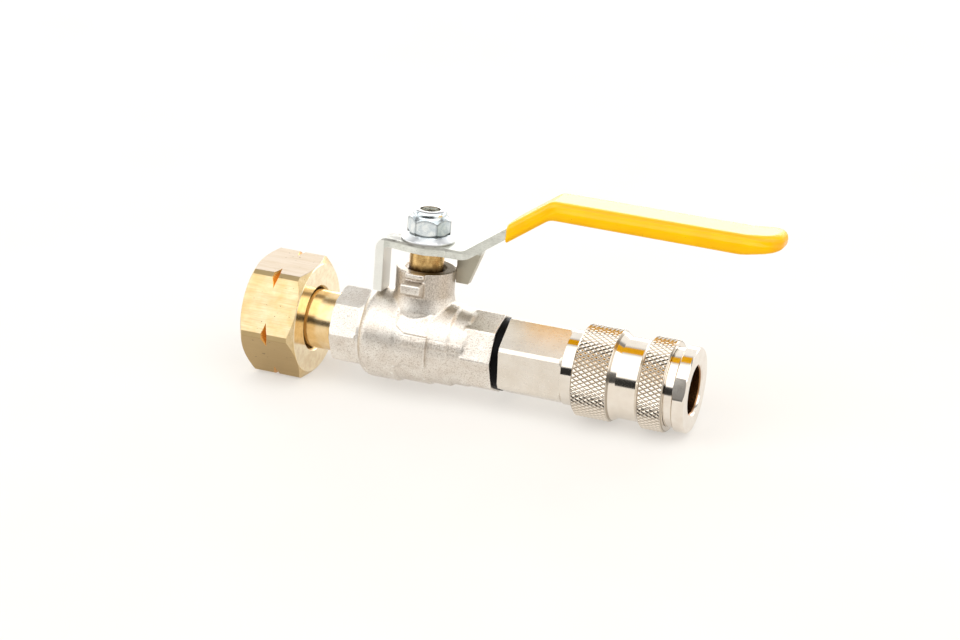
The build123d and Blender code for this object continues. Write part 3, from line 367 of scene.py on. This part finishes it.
forged_nickel, place = new_finish("forged_nickel")
sand = grain(place, size=0.34, rough=0.6)
pits = grain(place, size=0.55, detail=2, rough=0.5)
clouds = grain(place, size=3.5)
torn = grain(place, size=0.5, rough=0.7, stretch=(0.8, 1, 1.8))
hollow = place.node("NewGeometry", {}, {}).output("Pointiness")
height, x_reach, y_reach = (reach_along(place, axis) for axis in ((0, 0, 1), (1, 0, 0), (0, 1, 0)))
boss = beyond(height, boss_foot, blur=1.2) * beyond(y_reach, boss_face, blur=0.2)
boss_top = beyond(height, boss_top_level, blur=0.1) * (1 - beyond(off_stem(place), boss_top_radius, blur=0.1))
boss_top = boss_top * beyond(x_reach, stem_middle, blur=2.5)
seam = beyond(0.0 - y_reach, seam_front)
seam = seam * beyond(x_reach, seam_back_end, blur=1.0) * (1 - beyond(x_reach, seam_front_end, blur=1.0))
seam = seam * beyond(height, seam_low, blur=0.35) * (1 - beyond(height, seam_high, blur=0.45))
tint = mix(ramp(clouds, (0.35, 0.0), (0.68, 1.0)), nickel_shade, nickel_light)
tint = mix(ramp(sand, (0.34, 0.70), (0.50, 0.0)), tint, sand_stain)
tint = mix(ramp(pits, (0.28, 0.50), (0.36, 0.0)), tint, pit_stain)
# Painted shade: concave creases, found by Pointiness, are darkened where shade gathers; convex ridges are
# made lighter.
tint = mix(ramp(hollow, (0.43, 0.90), (0.485, 0.0)), tint, hollow_painted_shade)
tint = mix(ramp(hollow, (0.515, 0.0), (0.58, 0.8)), tint, ridge_shine)
# Painted shade: the boss under the lever plate is darker, mixed with the forging's own mottle.
tint = mix(boss, tint, mix(ramp(sand, (0.34, 0.0), (0.62, 1.0)), boss_painted_shade_mottle_dark, boss_painted_shade_mottle_light))
# Painted shade: the boss's top beside the stem, under the lever plate, is tinted dark brown.
tint = mix(boss_top, tint, boss_top_painted_shade)
tint = mix(seam * ramp(torn, (0.45, 0.0), (0.60, 0.6)), tint, pit_stain)
surface(
    forged_nickel, place, {"Metallic": 1.0},
    Base_Color=tint, Roughness=0.22 + sand * 0.22 + boss_top * 0.2,
    Normal=rough_skin(place, sand * 0.6 + pits * 0.25 + seam * torn * 1.6, depth=0.14),
)
dressed("valve_end_cap", forged_nickel, "valve", width=0.28)


# Valve body: hot-forged brass, blasted and nickel-plated. The bands of its belly, the
# boss with its two stop lugs and the octagonal outlet run into each other with soft
# corners, and a rough trimmed seam stands where the two dies met.
def soft_copy(node, voxel, passes):
    """A CAD node's solid remade in small even faces and smoothed, so that all its corners run soft."""
    shape = merged_copy(node)
    mesh = bpy.data.meshes.new(node + "_rough")
    bmesh.ops.triangulate(shape, faces=shape.faces)
    shape.to_mesh(mesh)
    shape.free()
    rough = bpy.data.objects.new(node + "_rough", mesh)
    bpy.context.scene.collection.objects.link(rough)
    remesh = rough.modifiers.new("even_faces", "REMESH")
    remesh.mode = "VOXEL"
    remesh.voxel_size = voxel * mm
    even = bpy.data.meshes.new_from_object(rough.evaluated_get(bpy.context.evaluated_depsgraph_get()))
    bpy.data.objects.remove(rough)
    soft = bmesh.new()
    soft.from_mesh(even)
    bpy.data.meshes.remove(even)
    for _ in range(passes):
        bmesh.ops.smooth_vert(
            soft, verts=soft.verts, factor=0.5, use_axis_x=True, use_axis_y=True, use_axis_z=True,
        )
    for face in soft.faces:
        face.smooth = True
    return soft


valve_body_shape = soft_copy("valve_body", voxel=0.28, passes=2)
put_in_scene(valve_body_shape, "valve_body_dressed", forged_nickel, "valve", "valve_body")


# Ball, seats, thrust washer and stem rings: a plated ball turns between two white rings
# inside the body, and two small rubber rings seal the stem.
plating_shade, plating_light = (0.78, 0.71, 0.62), (0.84, 0.78, 0.70)
polished_nickel, place = new_finish("polished_nickel")
rings = turning_lines(place, spacing=0.10)
clouds = grain(place, size=4.0, detail=2)
surface(
    polished_nickel, place, {"Metallic": 1.0},
    Base_Color=mix(ramp(clouds, (0.35, 0.0), (0.7, 1.0)), plating_shade, plating_light),
    Roughness=0.05 + rings * 0.10, Normal=rough_skin(place, rings, depth=0.002),
)
give_finish("ball", polished_nickel)

ptfe_shade, ptfe_light = (0.78, 0.78, 0.76), (0.88, 0.88, 0.86)
white_ptfe, place = new_finish("white_ptfe")
haze = grain(place, size=0.8)
surface(
    white_ptfe, place, {"Metallic": 0.0},
    Base_Color=mix(haze, ptfe_shade, ptfe_light), Roughness=0.30 + haze * 0.15,
    Normal=rough_skin(place, haze, depth=0.01),
)
for node in ("seat_inlet", "seat_outlet", "thrust_washer"):
    give_finish(node, white_ptfe)
for node in ("stem_o_ring_lower", "stem_o_ring_upper"):
    give_finish(node, black_rubber)


# Stem: turned brass spindle, lathe-bright above the boss, with painted shade darkening its foot
# and a painted reflection paling its end. Its tang drives the ball, its square drives the lever.
stem_foot, stem_end = 22.2, 34.0
stem_stain, stem_bright, stem_line = (0.46, 0.28, 0.10), (0.92, 0.64, 0.28), (0.20, 0.115, 0.035)
stem_foot_painted_shade, stem_end_painted_reflection = (0.09, 0.048, 0.014), (0.86, 0.80, 0.66)
stem_brass, place = new_finish("stem_brass")
height = reach_along(place, (0, 0, 1))
lines = place.node("TexNoise", {"noise_dimensions": "1D"}, {"W": height, "Scale": 9.0, "Detail": 3.0})
stains = grain(place, size=2.2, rough=0.5, stretch=(1, 1, 1.6))
foot = 1 - beyond(height + stains * 3.2, stem_foot, blur=0.9)
tint = mix(ramp(stains, (0.36, 0.0), (0.60, 1.0)), stem_stain, stem_bright)
tint = mix(ramp(lines, (0.35, 0.28), (0.55, 0.0)), tint, stem_line)
# Painted shade: the stem's foot at the boss is darkened.
tint = mix(foot, tint, stem_foot_painted_shade)
# Painted reflection: the stem's end above the nut is tinted pale.
tint = mix(beyond(height, stem_end), tint, stem_end_painted_reflection)
surface(
    stem_brass, place, {"Metallic": 1.0},
    Base_Color=tint, Roughness=0.16 + lines * 0.20 + foot * 0.2, Normal=rough_skin(place, lines, depth=0.006),
)
dressed("stem", stem_brass, "lever", width=0.12)


# Lever plate: stamped and bent steel strip, plated a pale greenish grey. The guard tab
# hangs on the inlet side, the stop ear on the outlet side, its handle runs up to the grip.
# The strip's front edge runs nearly straight past the stem, so the tab is set forwards.
plate_underside, plate_skin = 24.6, 26.65
tab_front, tab_back, ear_from = 31.1, 40.0, 45.0
edge_steepness, edge_fades_at, edge_widens_at = 0.78, 50.0, 38.0
plate_shade, plate_light = (0.66, 0.67, 0.61), (0.82, 0.83, 0.77)
scuff_grey, speck_grey, edge_painted_dark_reflection = (0.46, 0.46, 0.41), (0.36, 0.36, 0.32), (0.25, 0.245, 0.225)
ear_painted_shade, tab_front_painted_light, tab_side_painted_shade = (0.52, 0.485, 0.39), (0.94, 0.94, 0.89), (0.74, 0.73, 0.69)
plate_steel, place = new_finish("plate_steel")
scuffs = grain(place, size=0.35, detail=4, stretch=(4, 1, 1))
clouds = grain(place, size=2.5)
specks = grain(place, size=0.3, detail=2)
height, x_reach = reach_along(place, (0, 0, 1)), reach_along(place, (1, 0, 0))
normal = place.node("NewGeometry", {}, {}).output("Normal")
facing_up = normal.node("SeparateXYZ", {}, {"Vector": normal}).output("Z")
hanging = 1 - beyond(height, plate_underside, blur=0.3)
rolled_edge = 1 - beyond(facing_up, edge_steepness, blur=0.10)
rolled_edge = rolled_edge * (1 - beyond(x_reach, edge_fades_at, blur=9.0))
away_from_tab = beyond(x_reach, edge_widens_at, blur=2.5)
rolled_edge = beyond(height, plate_skin, blur=0.15) * (1 - (1 - rolled_edge) * away_from_tab)
tint = mix(ramp(clouds, (0.35, 0.0), (0.7, 1.0)), plate_shade, plate_light)
tint = mix(ramp(scuffs, (0.34, 0.4), (0.50, 0.0)), tint, scuff_grey)
tint = mix(ramp(specks, (0.30, 0.5), (0.38, 0.0)), tint, speck_grey)
# Painted light and shade: the hanging stop ear and the guard tab's inner side are tinted darker as shaded,
# the tab's front face paler as lit.
tint = mix(hanging * beyond(x_reach, ear_from), tint, ear_painted_shade)
tint = mix((1 - beyond(x_reach, tab_front)) * 0.8, tint, tab_front_painted_light)
tint = mix(hanging * beyond(x_reach, tab_front) * (1 - beyond(x_reach, tab_back)), tint, tab_side_painted_shade)
# Painted reflection: a dark grey line along the strip's rounded upper edge, widest near the tab and broken up
# by the clouds.
tint = mix(rolled_edge * ramp(clouds, (0.40, 0.55), (0.60, 1.0)), tint, edge_painted_dark_reflection)
surface(
    plate_steel, place, {"Metallic": 0.85},
    Base_Color=tint, Roughness=0.28 + scuffs * 0.24,
    Normal=rough_skin(place, scuffs * 0.5 + specks * 0.5, depth=0.03),
)

strip_front, strip_half, front_edge, stem_hole = -5.3, 3.0, -2.9, 4.6
eye_bulge, bulge_middle, bulge_to_tab, bulge_to_handle, handle_from = 1.5, 1.0, 10.93, 5.82, 7.0
tab_shift, tab_narrowing, tab_set_forward, neck_from, neck_run = 1.0, 0.9, 2.9, 5.0, 4.93
lever_plate_shape = merged_copy("lever_plate")
for point in lever_plate_shape.verts:
    reach, side = point.co.x / mm - stem_middle, point.co.y / mm
    neck = min(max((-reach - neck_from) / neck_run, 0.0), 1.0)
    point.co.x += tab_shift * neck * mm
    if neck == 1.0:
        point.co.y = (strip_front + (side + strip_half) * tab_narrowing) * mm
    elif side < front_edge and reach < handle_from and math.hypot(reach, side) > stem_hole:
        swing = (reach - bulge_middle) / (bulge_to_tab if reach < bulge_middle else bulge_to_handle)
        point.co.y = (strip_front - eye_bulge * (0.5 + 0.5 * math.cos(math.pi * swing))) * mm
    elif side > 0.0:
        point.co.y -= tab_set_forward * neck * mm
break_edges(lever_plate_shape, width=0.34, segments=3)
lever_plate = put_in_scene(
    lever_plate_shape, "lever_plate_dressed", plate_steel, "lever", "lever_plate",
)
even_shading(lever_plate)


# Grip: the handle end is dipped in yellow vinyl, which sets as a thick glossy coat with
# round edges and slightly uneven faces. Its sides draw in a little towards the top.
grip_bend, grip_slope, grip_straight, grip_tip = 78.0, 0.716, 79.0, 134.3
coat_level, shine_low, shine_high, lip_low, lip_high = 43.7, 42.3, 43.2, 43.8, 44.35
vinyl_shade, vinyl_light, vinyl_bit = (0.93, 0.47, 0.0), (0.97, 0.53, 0.0), (0.35, 0.16, 0.02)
lip_painted_dark_reflection, tip_orange = (0.82, 0.36, 0.0), (0.80, 0.34, 0.0)
yellow_vinyl, place = new_finish("yellow_vinyl")
swell = grain(place, size=6.0, detail=2)
fine = grain(place, size=0.5)
bits = grain(place, size=0.8, detail=2, rough=0.4)
x_reach = reach_along(place, (1, 0, 0))
level = reach_along(place, (0, 0, 1)) + place.math("MAXIMUM", (grip_bend - x_reach) * grip_slope, 0.0)
straight = beyond(x_reach, grip_straight, blur=1.5)
upper = beyond(level, coat_level, blur=0.6) * (1 - beyond(x_reach, grip_tip + 0.5, blur=0.8))
highlight = beyond(level, shine_low, blur=0.2) * (1 - beyond(level, shine_high, blur=0.2)) * straight
lip = beyond(level, lip_low, blur=0.15) * (1 - beyond(level, lip_high, blur=0.15)) * straight
tip = beyond(x_reach, grip_tip, blur=1.3) * (1 - beyond(level, coat_level, blur=0.3))
tint = mix(ramp(swell, (0.35, 0.0), (0.7, 1.0)), vinyl_shade, vinyl_light)
tint = mix(ramp(bits, (0.755, 0.0), (0.775, 0.7)), tint, vinyl_bit)
# Painted reflection: a darker orange band just under the rounded top edge.
tint = mix(lip * 0.55, tint, lip_painted_dark_reflection)
tint = mix(tip * 0.75, tint, tip_orange)
surface(
    yellow_vinyl, place, {"Metallic": 0.0, "Specular IOR Level": 0.10, "Coat Roughness": 0.12},
    Base_Color=tint, Roughness=0.34 + fine * 0.14, Coat_Weight=upper * 0.55 + highlight * 0.45 + 0.05,
    Normal=rough_skin(place, swell * 0.8 + fine * 0.2, depth=0.03),
)

taper_from, taper_run, taper_depth, taper_width = 42.2, 0.9, 0.36, 5.0
lever_grip_shape = soft_copy("lever_grip", voxel=0.40, passes=5)
for point in lever_grip_shape.verts:
    level = point.co.z / mm + max((grip_bend - point.co.x / mm) * grip_slope, 0.0)
    drawn_in = min(max((level - taper_from) / taper_run, 0.0), 1.0) * taper_depth
    inwards = drawn_in if point.co.y < 0 else -drawn_in
    point.co.y += inwards * mm * min(abs(point.co.y) / (taper_width * mm), 1.0)
put_in_scene(lever_grip_shape, "lever_grip_dressed", yellow_vinyl, "lever", "lever_grip")


# Lock nut: zinc-plated flange nut, bright with a blue tinge, and the cream nylon ring
# that its rolled rim holds on the stem's end. Its corners are turned to a cone, which
# leaves an arc at the top of each flat.
plate_top = 27.3
cone_level, cone_radius, cone_slope, arc_width, arc_radius = 6.9, 4.5, 1.02, 0.40, 4.7
corner_level, corner_inner, corner_outer = 2.4, 5.60, 6.0
flange_level, flange_rim_level, flange_rim_radius = 1.75, 0.42, 6.8
foot_level, foot_top, foot_slope, foot_inner, foot_outer = 1.95, 2.25, 0.7, 5.0, 5.95
roll_level, roll_inner, roll_outer = 7.8, 2.95, 3.95
mouth_level, mouth_radius, nylon_level = 7.0, 2.85, 7.35
zinc_shade, zinc_light, flange_painted_highlight = (0.60, 0.67, 0.71), (0.84, 0.88, 0.88), (0.86, 0.87, 0.89)
arc_painted_dark_reflection, corner_painted_dark_reflection, nut_foot_painted_shadow = (0.16, 0.18, 0.19), (0.20, 0.23, 0.25), (0.05, 0.06, 0.063)
rim_painted_shade, roll_painted_shade, mouth_painted_shade = (0.22, 0.21, 0.18), (0.14, 0.12, 0.12), (0.34, 0.29, 0.22)
blue_zinc, place = new_finish("blue_zinc")
clouds = grain(place, size=1.6)
fine = grain(place, size=0.25)
height = reach_along(place, (0, 0, 1)) - plate_top
radius = off_stem(place)
below_cone = cone_level - (radius - cone_radius) * cone_slope - height
above_foot = height - (radius - foot_inner) * foot_slope
flange = 1 - beyond(height, flange_level, blur=0.3)
arcs = beyond(below_cone, 0.0, blur=0.06) * (1 - beyond(below_cone, arc_width, blur=0.30))
arcs = arcs * beyond(radius, arc_radius)
corners = beyond(radius, corner_inner, blur=0.08) * beyond(height, corner_level, blur=0.3)
corners = corners * (1 - beyond(radius, corner_outer))
foot_line = beyond(height, foot_level, blur=0.08) * (1 - beyond(above_foot, foot_top, blur=0.12))
foot_line = foot_line * (1 - beyond(radius, foot_outer, blur=0.10))
rim_line = (1 - beyond(height, flange_rim_level, blur=0.12)) * beyond(radius, flange_rim_radius, blur=0.1)
rolled_rim = beyond(height, roll_level, blur=0.1) * beyond(radius, roll_inner, blur=0.06)
rolled_rim = rolled_rim * (1 - beyond(radius, roll_outer, blur=0.10))
mouth = beyond(height, mouth_level, blur=0.1) * (1 - beyond(radius, mouth_radius))
tint = mix(ramp(clouds, (0.38, 0.0), (0.66, 1.0)), zinc_shade, zinc_light)
# Painted highlight: the flange is tinted paler.
tint = mix(flange * 0.8, tint, flange_painted_highlight)
# Painted reflection: dark arcs at the top of each flat and dark lines down the corners.
tint = mix(arcs * 0.6, tint, arc_painted_dark_reflection)
tint = mix(corners * 0.5, tint, corner_painted_dark_reflection)
# Painted shadow: a black line at the foot of the hexagon, and painted shade along the flange's lower rim.
tint = mix(foot_line * 0.9, tint, nut_foot_painted_shadow)
tint = mix(rim_line * 0.8, tint, rim_painted_shade)
# Painted shade: a dark ring on the rolled rim and a dark brown mouth inside it.
tint = mix(rolled_rim * 0.85, tint, roll_painted_shade)
tint = mix(mouth, tint, mouth_painted_shade)
surface(
    blue_zinc, place, {"Metallic": 1.0},
    Base_Color=tint, Roughness=0.14 + fine * 0.12 + flange * 0.14,
    Normal=rough_skin(place, fine, depth=0.006),
)
dressed("lever_nut", blue_zinc, "lever", width=0.14)

nylon_shade, nylon_light = (0.78, 0.70, 0.48), (0.88, 0.82, 0.62)
cream_nylon, place = new_finish("cream_nylon")
haze = grain(place, size=0.5)
surface(
    cream_nylon, place, {"Metallic": 0.0},
    Base_Color=mix(haze, nylon_shade, nylon_light), Roughness=0.35 + haze * 0.15,
    Normal=rough_skin(place, haze, depth=0.01),
)
lever_nut_insert_shape = merged_copy("lever_nut_insert")
for point in lever_nut_insert_shape.verts:
    point.co.z = min(point.co.z, (plate_top + nylon_level) * mm)
put_in_scene(
    lever_nut_insert_shape, "lever_nut_insert_dressed", cream_nylon, "lever",
    "lever_nut_insert",
)


# Outlet seal: thick black rubber ring, squeezed between the valve's octagonal outlet and
# the coupling's hexagon when the adapter is screwed home.
dressed("outlet_seal", black_rubber, "valve", width=0.25)


# Coupling adapter: milled from hexagon brass bar and nickel-plated. The flats are satin
# with faint drawn lines, the collar behind the sleeve is turned bright. A narrow land is
# left on each corner of the hexagon.
adapter_corner, adapter_land_reach, collar_start = 36.5, 10.63, 83.95
satin_shade, satin_light = (0.72, 0.66, 0.58), (0.79, 0.74, 0.67)
satin_nickel, place = new_finish("satin_nickel")
drawn = grain(place, size=0.16, stretch=(9, 1, 1))
clouds = grain(place, size=5.0)
fine = grain(place, size=0.14)
collar_side = beyond(reach_along(place, (1, 0, 0)), collar_start)
surface(
    satin_nickel, place, {"Metallic": 1.0},
    Base_Color=mix(ramp(clouds, (0.35, 0.0), (0.7, 1.0)), satin_shade, satin_light),
    Roughness=0.06 + (1 - collar_side) * (0.16 + drawn * 0.14),
    Normal=rough_skin(place, drawn * 0.5 + fine * 0.5, depth=0.007),
)
coupling_adapter_shape = merged_copy("coupling_adapter")
for corner in range(6):
    mill_land(coupling_adapter_shape, degrees=adapter_corner + 60 * corner, reach=adapter_land_reach)
break_edges(coupling_adapter_shape, width=0.14)
coupling_adapter = put_in_scene(
    coupling_adapter_shape, "coupling_adapter_dressed", satin_nickel, "valve",
    "coupling_adapter",
)
even_shading(coupling_adapter)


# Coupling body: turned barrel of the quick coupling, polished and nickel-plated outside.
# Its plug bore is brown inside where the plating is thin, and painted darker as shade where the light doesn't
# reach.
# A small flat is milled on the side of its flange.
bore_radius, flange_radius, flange_flat_depth, flange_flat_side = 6.6, 11.3, 0.36, 163
barrel_shade, barrel_light, bore_brown_and_painted_shade = (0.78, 0.71, 0.63), (0.84, 0.79, 0.72), (0.30, 0.15, 0.06)
body_nickel, place = new_finish("body_nickel")
rings = turning_lines(place, spacing=0.10)
clouds = grain(place, size=3.0, detail=2)
inside = 1 - beyond(off_pipe(place), bore_radius, blur=0.1)
tint = mix(ramp(clouds, (0.35, 0.0), (0.7, 1.0)), barrel_shade, barrel_light)
surface(
    body_nickel, place, {"Metallic": 1.0},
    Base_Color=mix(inside, tint, bore_brown_and_painted_shade), Roughness=0.06 + rings * 0.10 + inside * 0.15,
    Normal=rough_skin(place, rings, depth=0.002),
)
coupling_body_shape = merged_copy("coupling_body")
mill_land(coupling_body_shape, degrees=flange_flat_side, reach=flange_radius - flange_flat_depth)
break_edges(coupling_body_shape, width=0.16)
coupling_body = put_in_scene(
    coupling_body_shape, "coupling_body_dressed", body_nickel, "valve", "coupling_body",
)
even_shading(coupling_body)


# Plug seal and locking balls: a rubber ring in a groove of the plug bore, and six hard
# steel balls that sit in holes through the barrel's wall and lock behind a plug's collar.
steel_shade, steel_light = (0.60, 0.60, 0.60), (0.72, 0.72, 0.72)
ball_steel, place = new_finish("ball_steel")
haze = grain(place, size=0.6, detail=2)
surface(
    ball_steel, place, {"Metallic": 1.0},
    Base_Color=mix(haze, steel_shade, steel_light), Roughness=0.06 + haze * 0.08,
    Normal=rough_skin(place, haze, depth=0.002),
)
give_finish("plug_seal", black_rubber)
for number in range(1, 7):
    give_finish(f"locking_ball_{number}", ball_steel)


# Coupling sleeve: turned ring, nickel-plated, with a 30 degree diamond knurl rolled into
# its two bands and a smooth waist between them. It slides back against its spring.
sleeve_radius, sleeve_back, sleeve_front = 12.2, 87.3, 111.7
rear_band, front_band = (87.75, 96.75), (105.55, 111.35)
waist_radius, waist_back, waist_front = 10.8, 98.9, 104.3
back_rim, band_shoulder, front_shoulder, front_rim = 11.60, 12.0, 12.05, 11.7
barrel_bore, ball_bore, mouth_bore, bore_chamfer, lip = 10.08, 9.03, 10.56, 0.4, 1.0
spring_room_end, cone_back, cone_front = 98.8, 104.9, 109.9
knurl_count, knurl_pitch, knurl_depth, knurl_flat, knurl_steps = 60, 2.15, 0.37, 0.82, 4
groove_inner, groove_outer, crisp = 11.62, 11.95, math.radians(12)
groove_painted_shade = (0.33, 0.27, 0.20)
knurled_nickel, place = new_finish("knurled_nickel")
rings = turning_lines(place, spacing=0.10)
clouds = grain(place, size=4.0, detail=2)
radius = off_pipe(place)
grooves = beyond(radius, groove_inner, blur=0.02) * (1 - beyond(radius, groove_outer, blur=0.08))
tint = mix(ramp(clouds, (0.35, 0.0), (0.7, 1.0)), plating_shade, plating_light)
# Painted shade: the knurl's grooves are tinted brown.
surface(
    knurled_nickel, place, {"Metallic": 1.0},
    Base_Color=mix(grooves * 0.8, tint, groove_painted_shade), Roughness=0.06 + rings * 0.10 + grooves * 0.12,
    Normal=rough_skin(place, rings, depth=0.002),
)

sleeve_profile = [
    (sleeve_back, barrel_bore + bore_chamfer), (sleeve_back, back_rim),
    (rear_band[0], band_shoulder), (rear_band[0], sleeve_radius),
    (rear_band[1], sleeve_radius), (rear_band[1], band_shoulder),
    (waist_back, waist_radius), (waist_front, waist_radius),
    (front_band[0], front_shoulder), (front_band[0], sleeve_radius),
    (front_band[1], sleeve_radius), (front_band[1], band_shoulder),
    (sleeve_front, front_rim), (sleeve_front, barrel_bore),
    (sleeve_front - lip, barrel_bore), (sleeve_front - lip, mouth_bore),
    (cone_front, mouth_bore), (cone_back, ball_bore),
    (spring_room_end, ball_bore), (spring_room_end, barrel_bore), (sleeve_back + bore_chamfer, barrel_bore),
]
sleeve_shape = bmesh.new()
outline = [sleeve_shape.verts.new((x * mm, 0, radius * mm)) for x, radius in sleeve_profile]
edges = [sleeve_shape.edges.new(pair) for pair in zip(outline, outline[1:] + outline[:1])]
rear_edge, front_edge = edges[3], edges[9]
for edge in (rear_edge, front_edge):
    rows = round(abs(edge.verts[0].co.x - edge.verts[1].co.x) / (knurl_pitch * mm / knurl_steps))
    bmesh.ops.subdivide_edges(sleeve_shape, edges=[edge], cuts=rows - 1)
bmesh.ops.spin(
    sleeve_shape, geom=sleeve_shape.verts[:] + sleeve_shape.edges[:], cent=(0, 0, 0), axis=(1, 0, 0),
    dvec=(0, 0, 0), angle=2 * math.pi, steps=knurl_count * knurl_steps, use_merge=True,
)
bmesh.ops.recalc_face_normals(sleeve_shape, faces=sleeve_shape.faces)
band_reach = (sleeve_radius - 0.01) * mm
knurled_faces = [
    face for face in sleeve_shape.faces if all(point.co.yz.length > band_reach for point in face.verts)
]
for point in sleeve_shape.verts:
    spread = point.co.yz.length
    if spread < band_reach:
        continue
    band = rear_band if point.co.x < waist_front * mm else front_band
    across = round(math.atan2(point.co.z, point.co.y) / (2 * math.pi) * knurl_count * knurl_steps) / 2
    down = round((point.co.x / mm - band[0]) / (knurl_pitch / knurl_steps)) / 2
    height = min(1 - abs((across + down) % 2 - 1), 1 - abs((across - down) % 2 - 1), knurl_flat)
    point.co.yz *= (sleeve_radius - knurl_depth * (1 - height / knurl_flat)) * mm / spread
bmesh.ops.triangulate(sleeve_shape, faces=knurled_faces, quad_method="SHORT_EDGE")
for face in sleeve_shape.faces:
    face.smooth = True
for edge in sleeve_shape.edges:
    if edge.is_manifold and edge.calc_face_angle() > crisp:
        edge.smooth = False
put_in_scene(
    sleeve_shape, "coupling_sleeve_dressed", knurled_nickel, "sleeve", "coupling_sleeve",
)


# Sleeve washer, springs and poppet: hidden works of the coupling, in steel and brass. One
# spring pushes the sleeve forwards through the washer, the other shuts the poppet.
wire_shade, wire_light = (0.46, 0.45, 0.44), (0.58, 0.57, 0.55)
spring_steel, place = new_finish("spring_steel")
haze = grain(place, size=0.5)
surface(
    spring_steel, place, {"Metallic": 1.0},
    Base_Color=mix(haze, wire_shade, wire_light), Roughness=0.22 + haze * 0.12,
    Normal=rough_skin(place, haze, depth=0.005),
)
for node in ("sleeve_washer", "sleeve_spring", "poppet_spring"):
    give_finish(node, spring_steel)
give_finish("poppet", brass_turned)
give_finish("poppet_seal", black_rubber)


# Floor: a plain white table. The connector lies on it on its nut and its sleeve, rolled
# back a little on the pipe axis, so the floor is laid under those two places.
nut_rest_place, nut_half, sleeve_rest_place, floor_gap, floor_half = 11.0, 15.0, 111.3, 0.02, 4.0
table_glow, table_shade, table_light = (1.0, 0.965, 0.915), (0.43, 0.42, 0.405), (0.45, 0.44, 0.425)
white_table, place = new_finish("white_table")
clouds = grain(place, size=60, detail=2)
surface(
    white_table, place,
    {"Specular IOR Level": 0.05, "Roughness": 0.9, "Emission Color": table_glow, "Emission Strength": 0.46},
    Base_Color=mix(ramp(clouds, (0.3, 0.0), (0.7, 1.0)), table_shade, table_light),
)
roll = math.radians(7.83)
up = Vector((0, -math.sin(roll), math.cos(roll)))
nut_rest = Vector((nut_rest_place, 0, 0)) - nut_half * up
sleeve_rest = Vector((sleeve_rest_place, 0, 0)) - sleeve_radius * up
along = (sleeve_rest - nut_rest).normalized()
floor_up = along.cross(Vector((0, up.z, -up.y))).normalized()
floor_up = floor_up if floor_up.z > 0 else -floor_up
floor_place = Matrix.Translation((nut_rest - floor_gap * floor_up) * mm)
floor_tilt = floor_up.to_track_quat("Z", "Y").to_matrix().to_4x4()
floor_shape = bmesh.new()
bmesh.ops.create_grid(floor_shape, x_segments=8, y_segments=8, size=floor_half)
bmesh.ops.transform(floor_shape, verts=floor_shape.verts, matrix=floor_place @ floor_tilt)
floor_mesh = bpy.data.meshes.new("floor")
floor_shape.to_mesh(floor_mesh)
floor_shape.free()
floor_mesh.materials.append(white_table)
floor = bpy.data.objects.new("floor", floor_mesh)
bpy.context.scene.collection.objects.link(floor)


# Studio light: no lamp, only a glow all round, which changes with the height above the
# table from the camera's side over the top to the back. A broad panel of light stands in
# front, a dim gap above and a bright strip low at the back, and the table's sides glow.
camera_back = Vector((0.3141, -0.89712, 0.31068))
view_side = Vector((camera_back.x, camera_back.y, 0)).normalized()
right_side = view_side.cross(floor_up).normalized()
glow_peak = 5.0
glow_by_height = [
    (0, 0.03), (24, 0.04), (28, 1.7), (36, 2.0), (82, 2.0), (93, 0.75), (100, 0.30), (112, 0.30),
    (122, 1.15), (158, 1.15), (165, 4.0), (173, 4.0), (180, 2.5),
]
world = bpy.data.worlds.new("studio")
bpy.context.scene.world = world
world.use_nodes = True
world.node_tree.nodes.clear()
sky = Signal(world.node_tree, None).node("TexCoord", {}, {}).output("Generated")


def sky_part(direction):
    """How far the sky's direction points along another one."""
    return sky.node("VectorMath", {"operation": "DOT_PRODUCT"}, {0: sky, 1: tuple(direction)}).output("Value")


turn = sky.math("ARCTAN2", sky_part(floor_up), sky_part(view_side)) * (1 / math.pi)
aside = sky_part(right_side) * 0.5 + 0.5
brightness = ramp(turn, *[(degrees / 180, glow / glow_peak) for degrees, glow in glow_by_height]) * glow_peak
side_glow = ramp(aside, (0.0, 1.0), (0.16, 1.0), (0.30, 0.0), (0.84, 0.0), (0.97, 0.7))
low_down = ramp(turn, (0.0, 1.0), (0.15, 1.0), (0.2, 0.0))
brightness = brightness + side_glow * low_down * 0.9
light = sky.node("Background", {}, {"Color": (1.0, 0.995, 0.98), "Strength": brightness})
world_output = world.node_tree.nodes.new("ShaderNodeOutputWorld")
world.node_tree.links.new(light.socket, world_output.inputs["Surface"])


# Camera: stands in front, turned towards the outlet side, and looks down at the connector
# with the long lens of a product photograph.
camera_place = Vector((240.83, -523.31, 189.21))
camera_right = Vector((0.93293, 0.35233, 0.07419))
camera_up = Vector((-0.17602, 0.26654, 0.94761))
camera_turn = Matrix((camera_right, camera_up, camera_back)).transposed().to_4x4()
camera_data = bpy.data.cameras.new("camera")
camera_data.lens = 83.01
camera_data.sensor_width = 36.0
camera_data.clip_start = 0.01
camera = bpy.data.objects.new("camera", camera_data)
camera.matrix_world = Matrix.Translation(camera_place * mm) @ camera_turn
bpy.context.scene.collection.objects.link(camera)
bpy.context.scene.camera = camera
bpy.context.scene.view_settings.view_transform = "Standard"

bpy.context.view_layer.update()
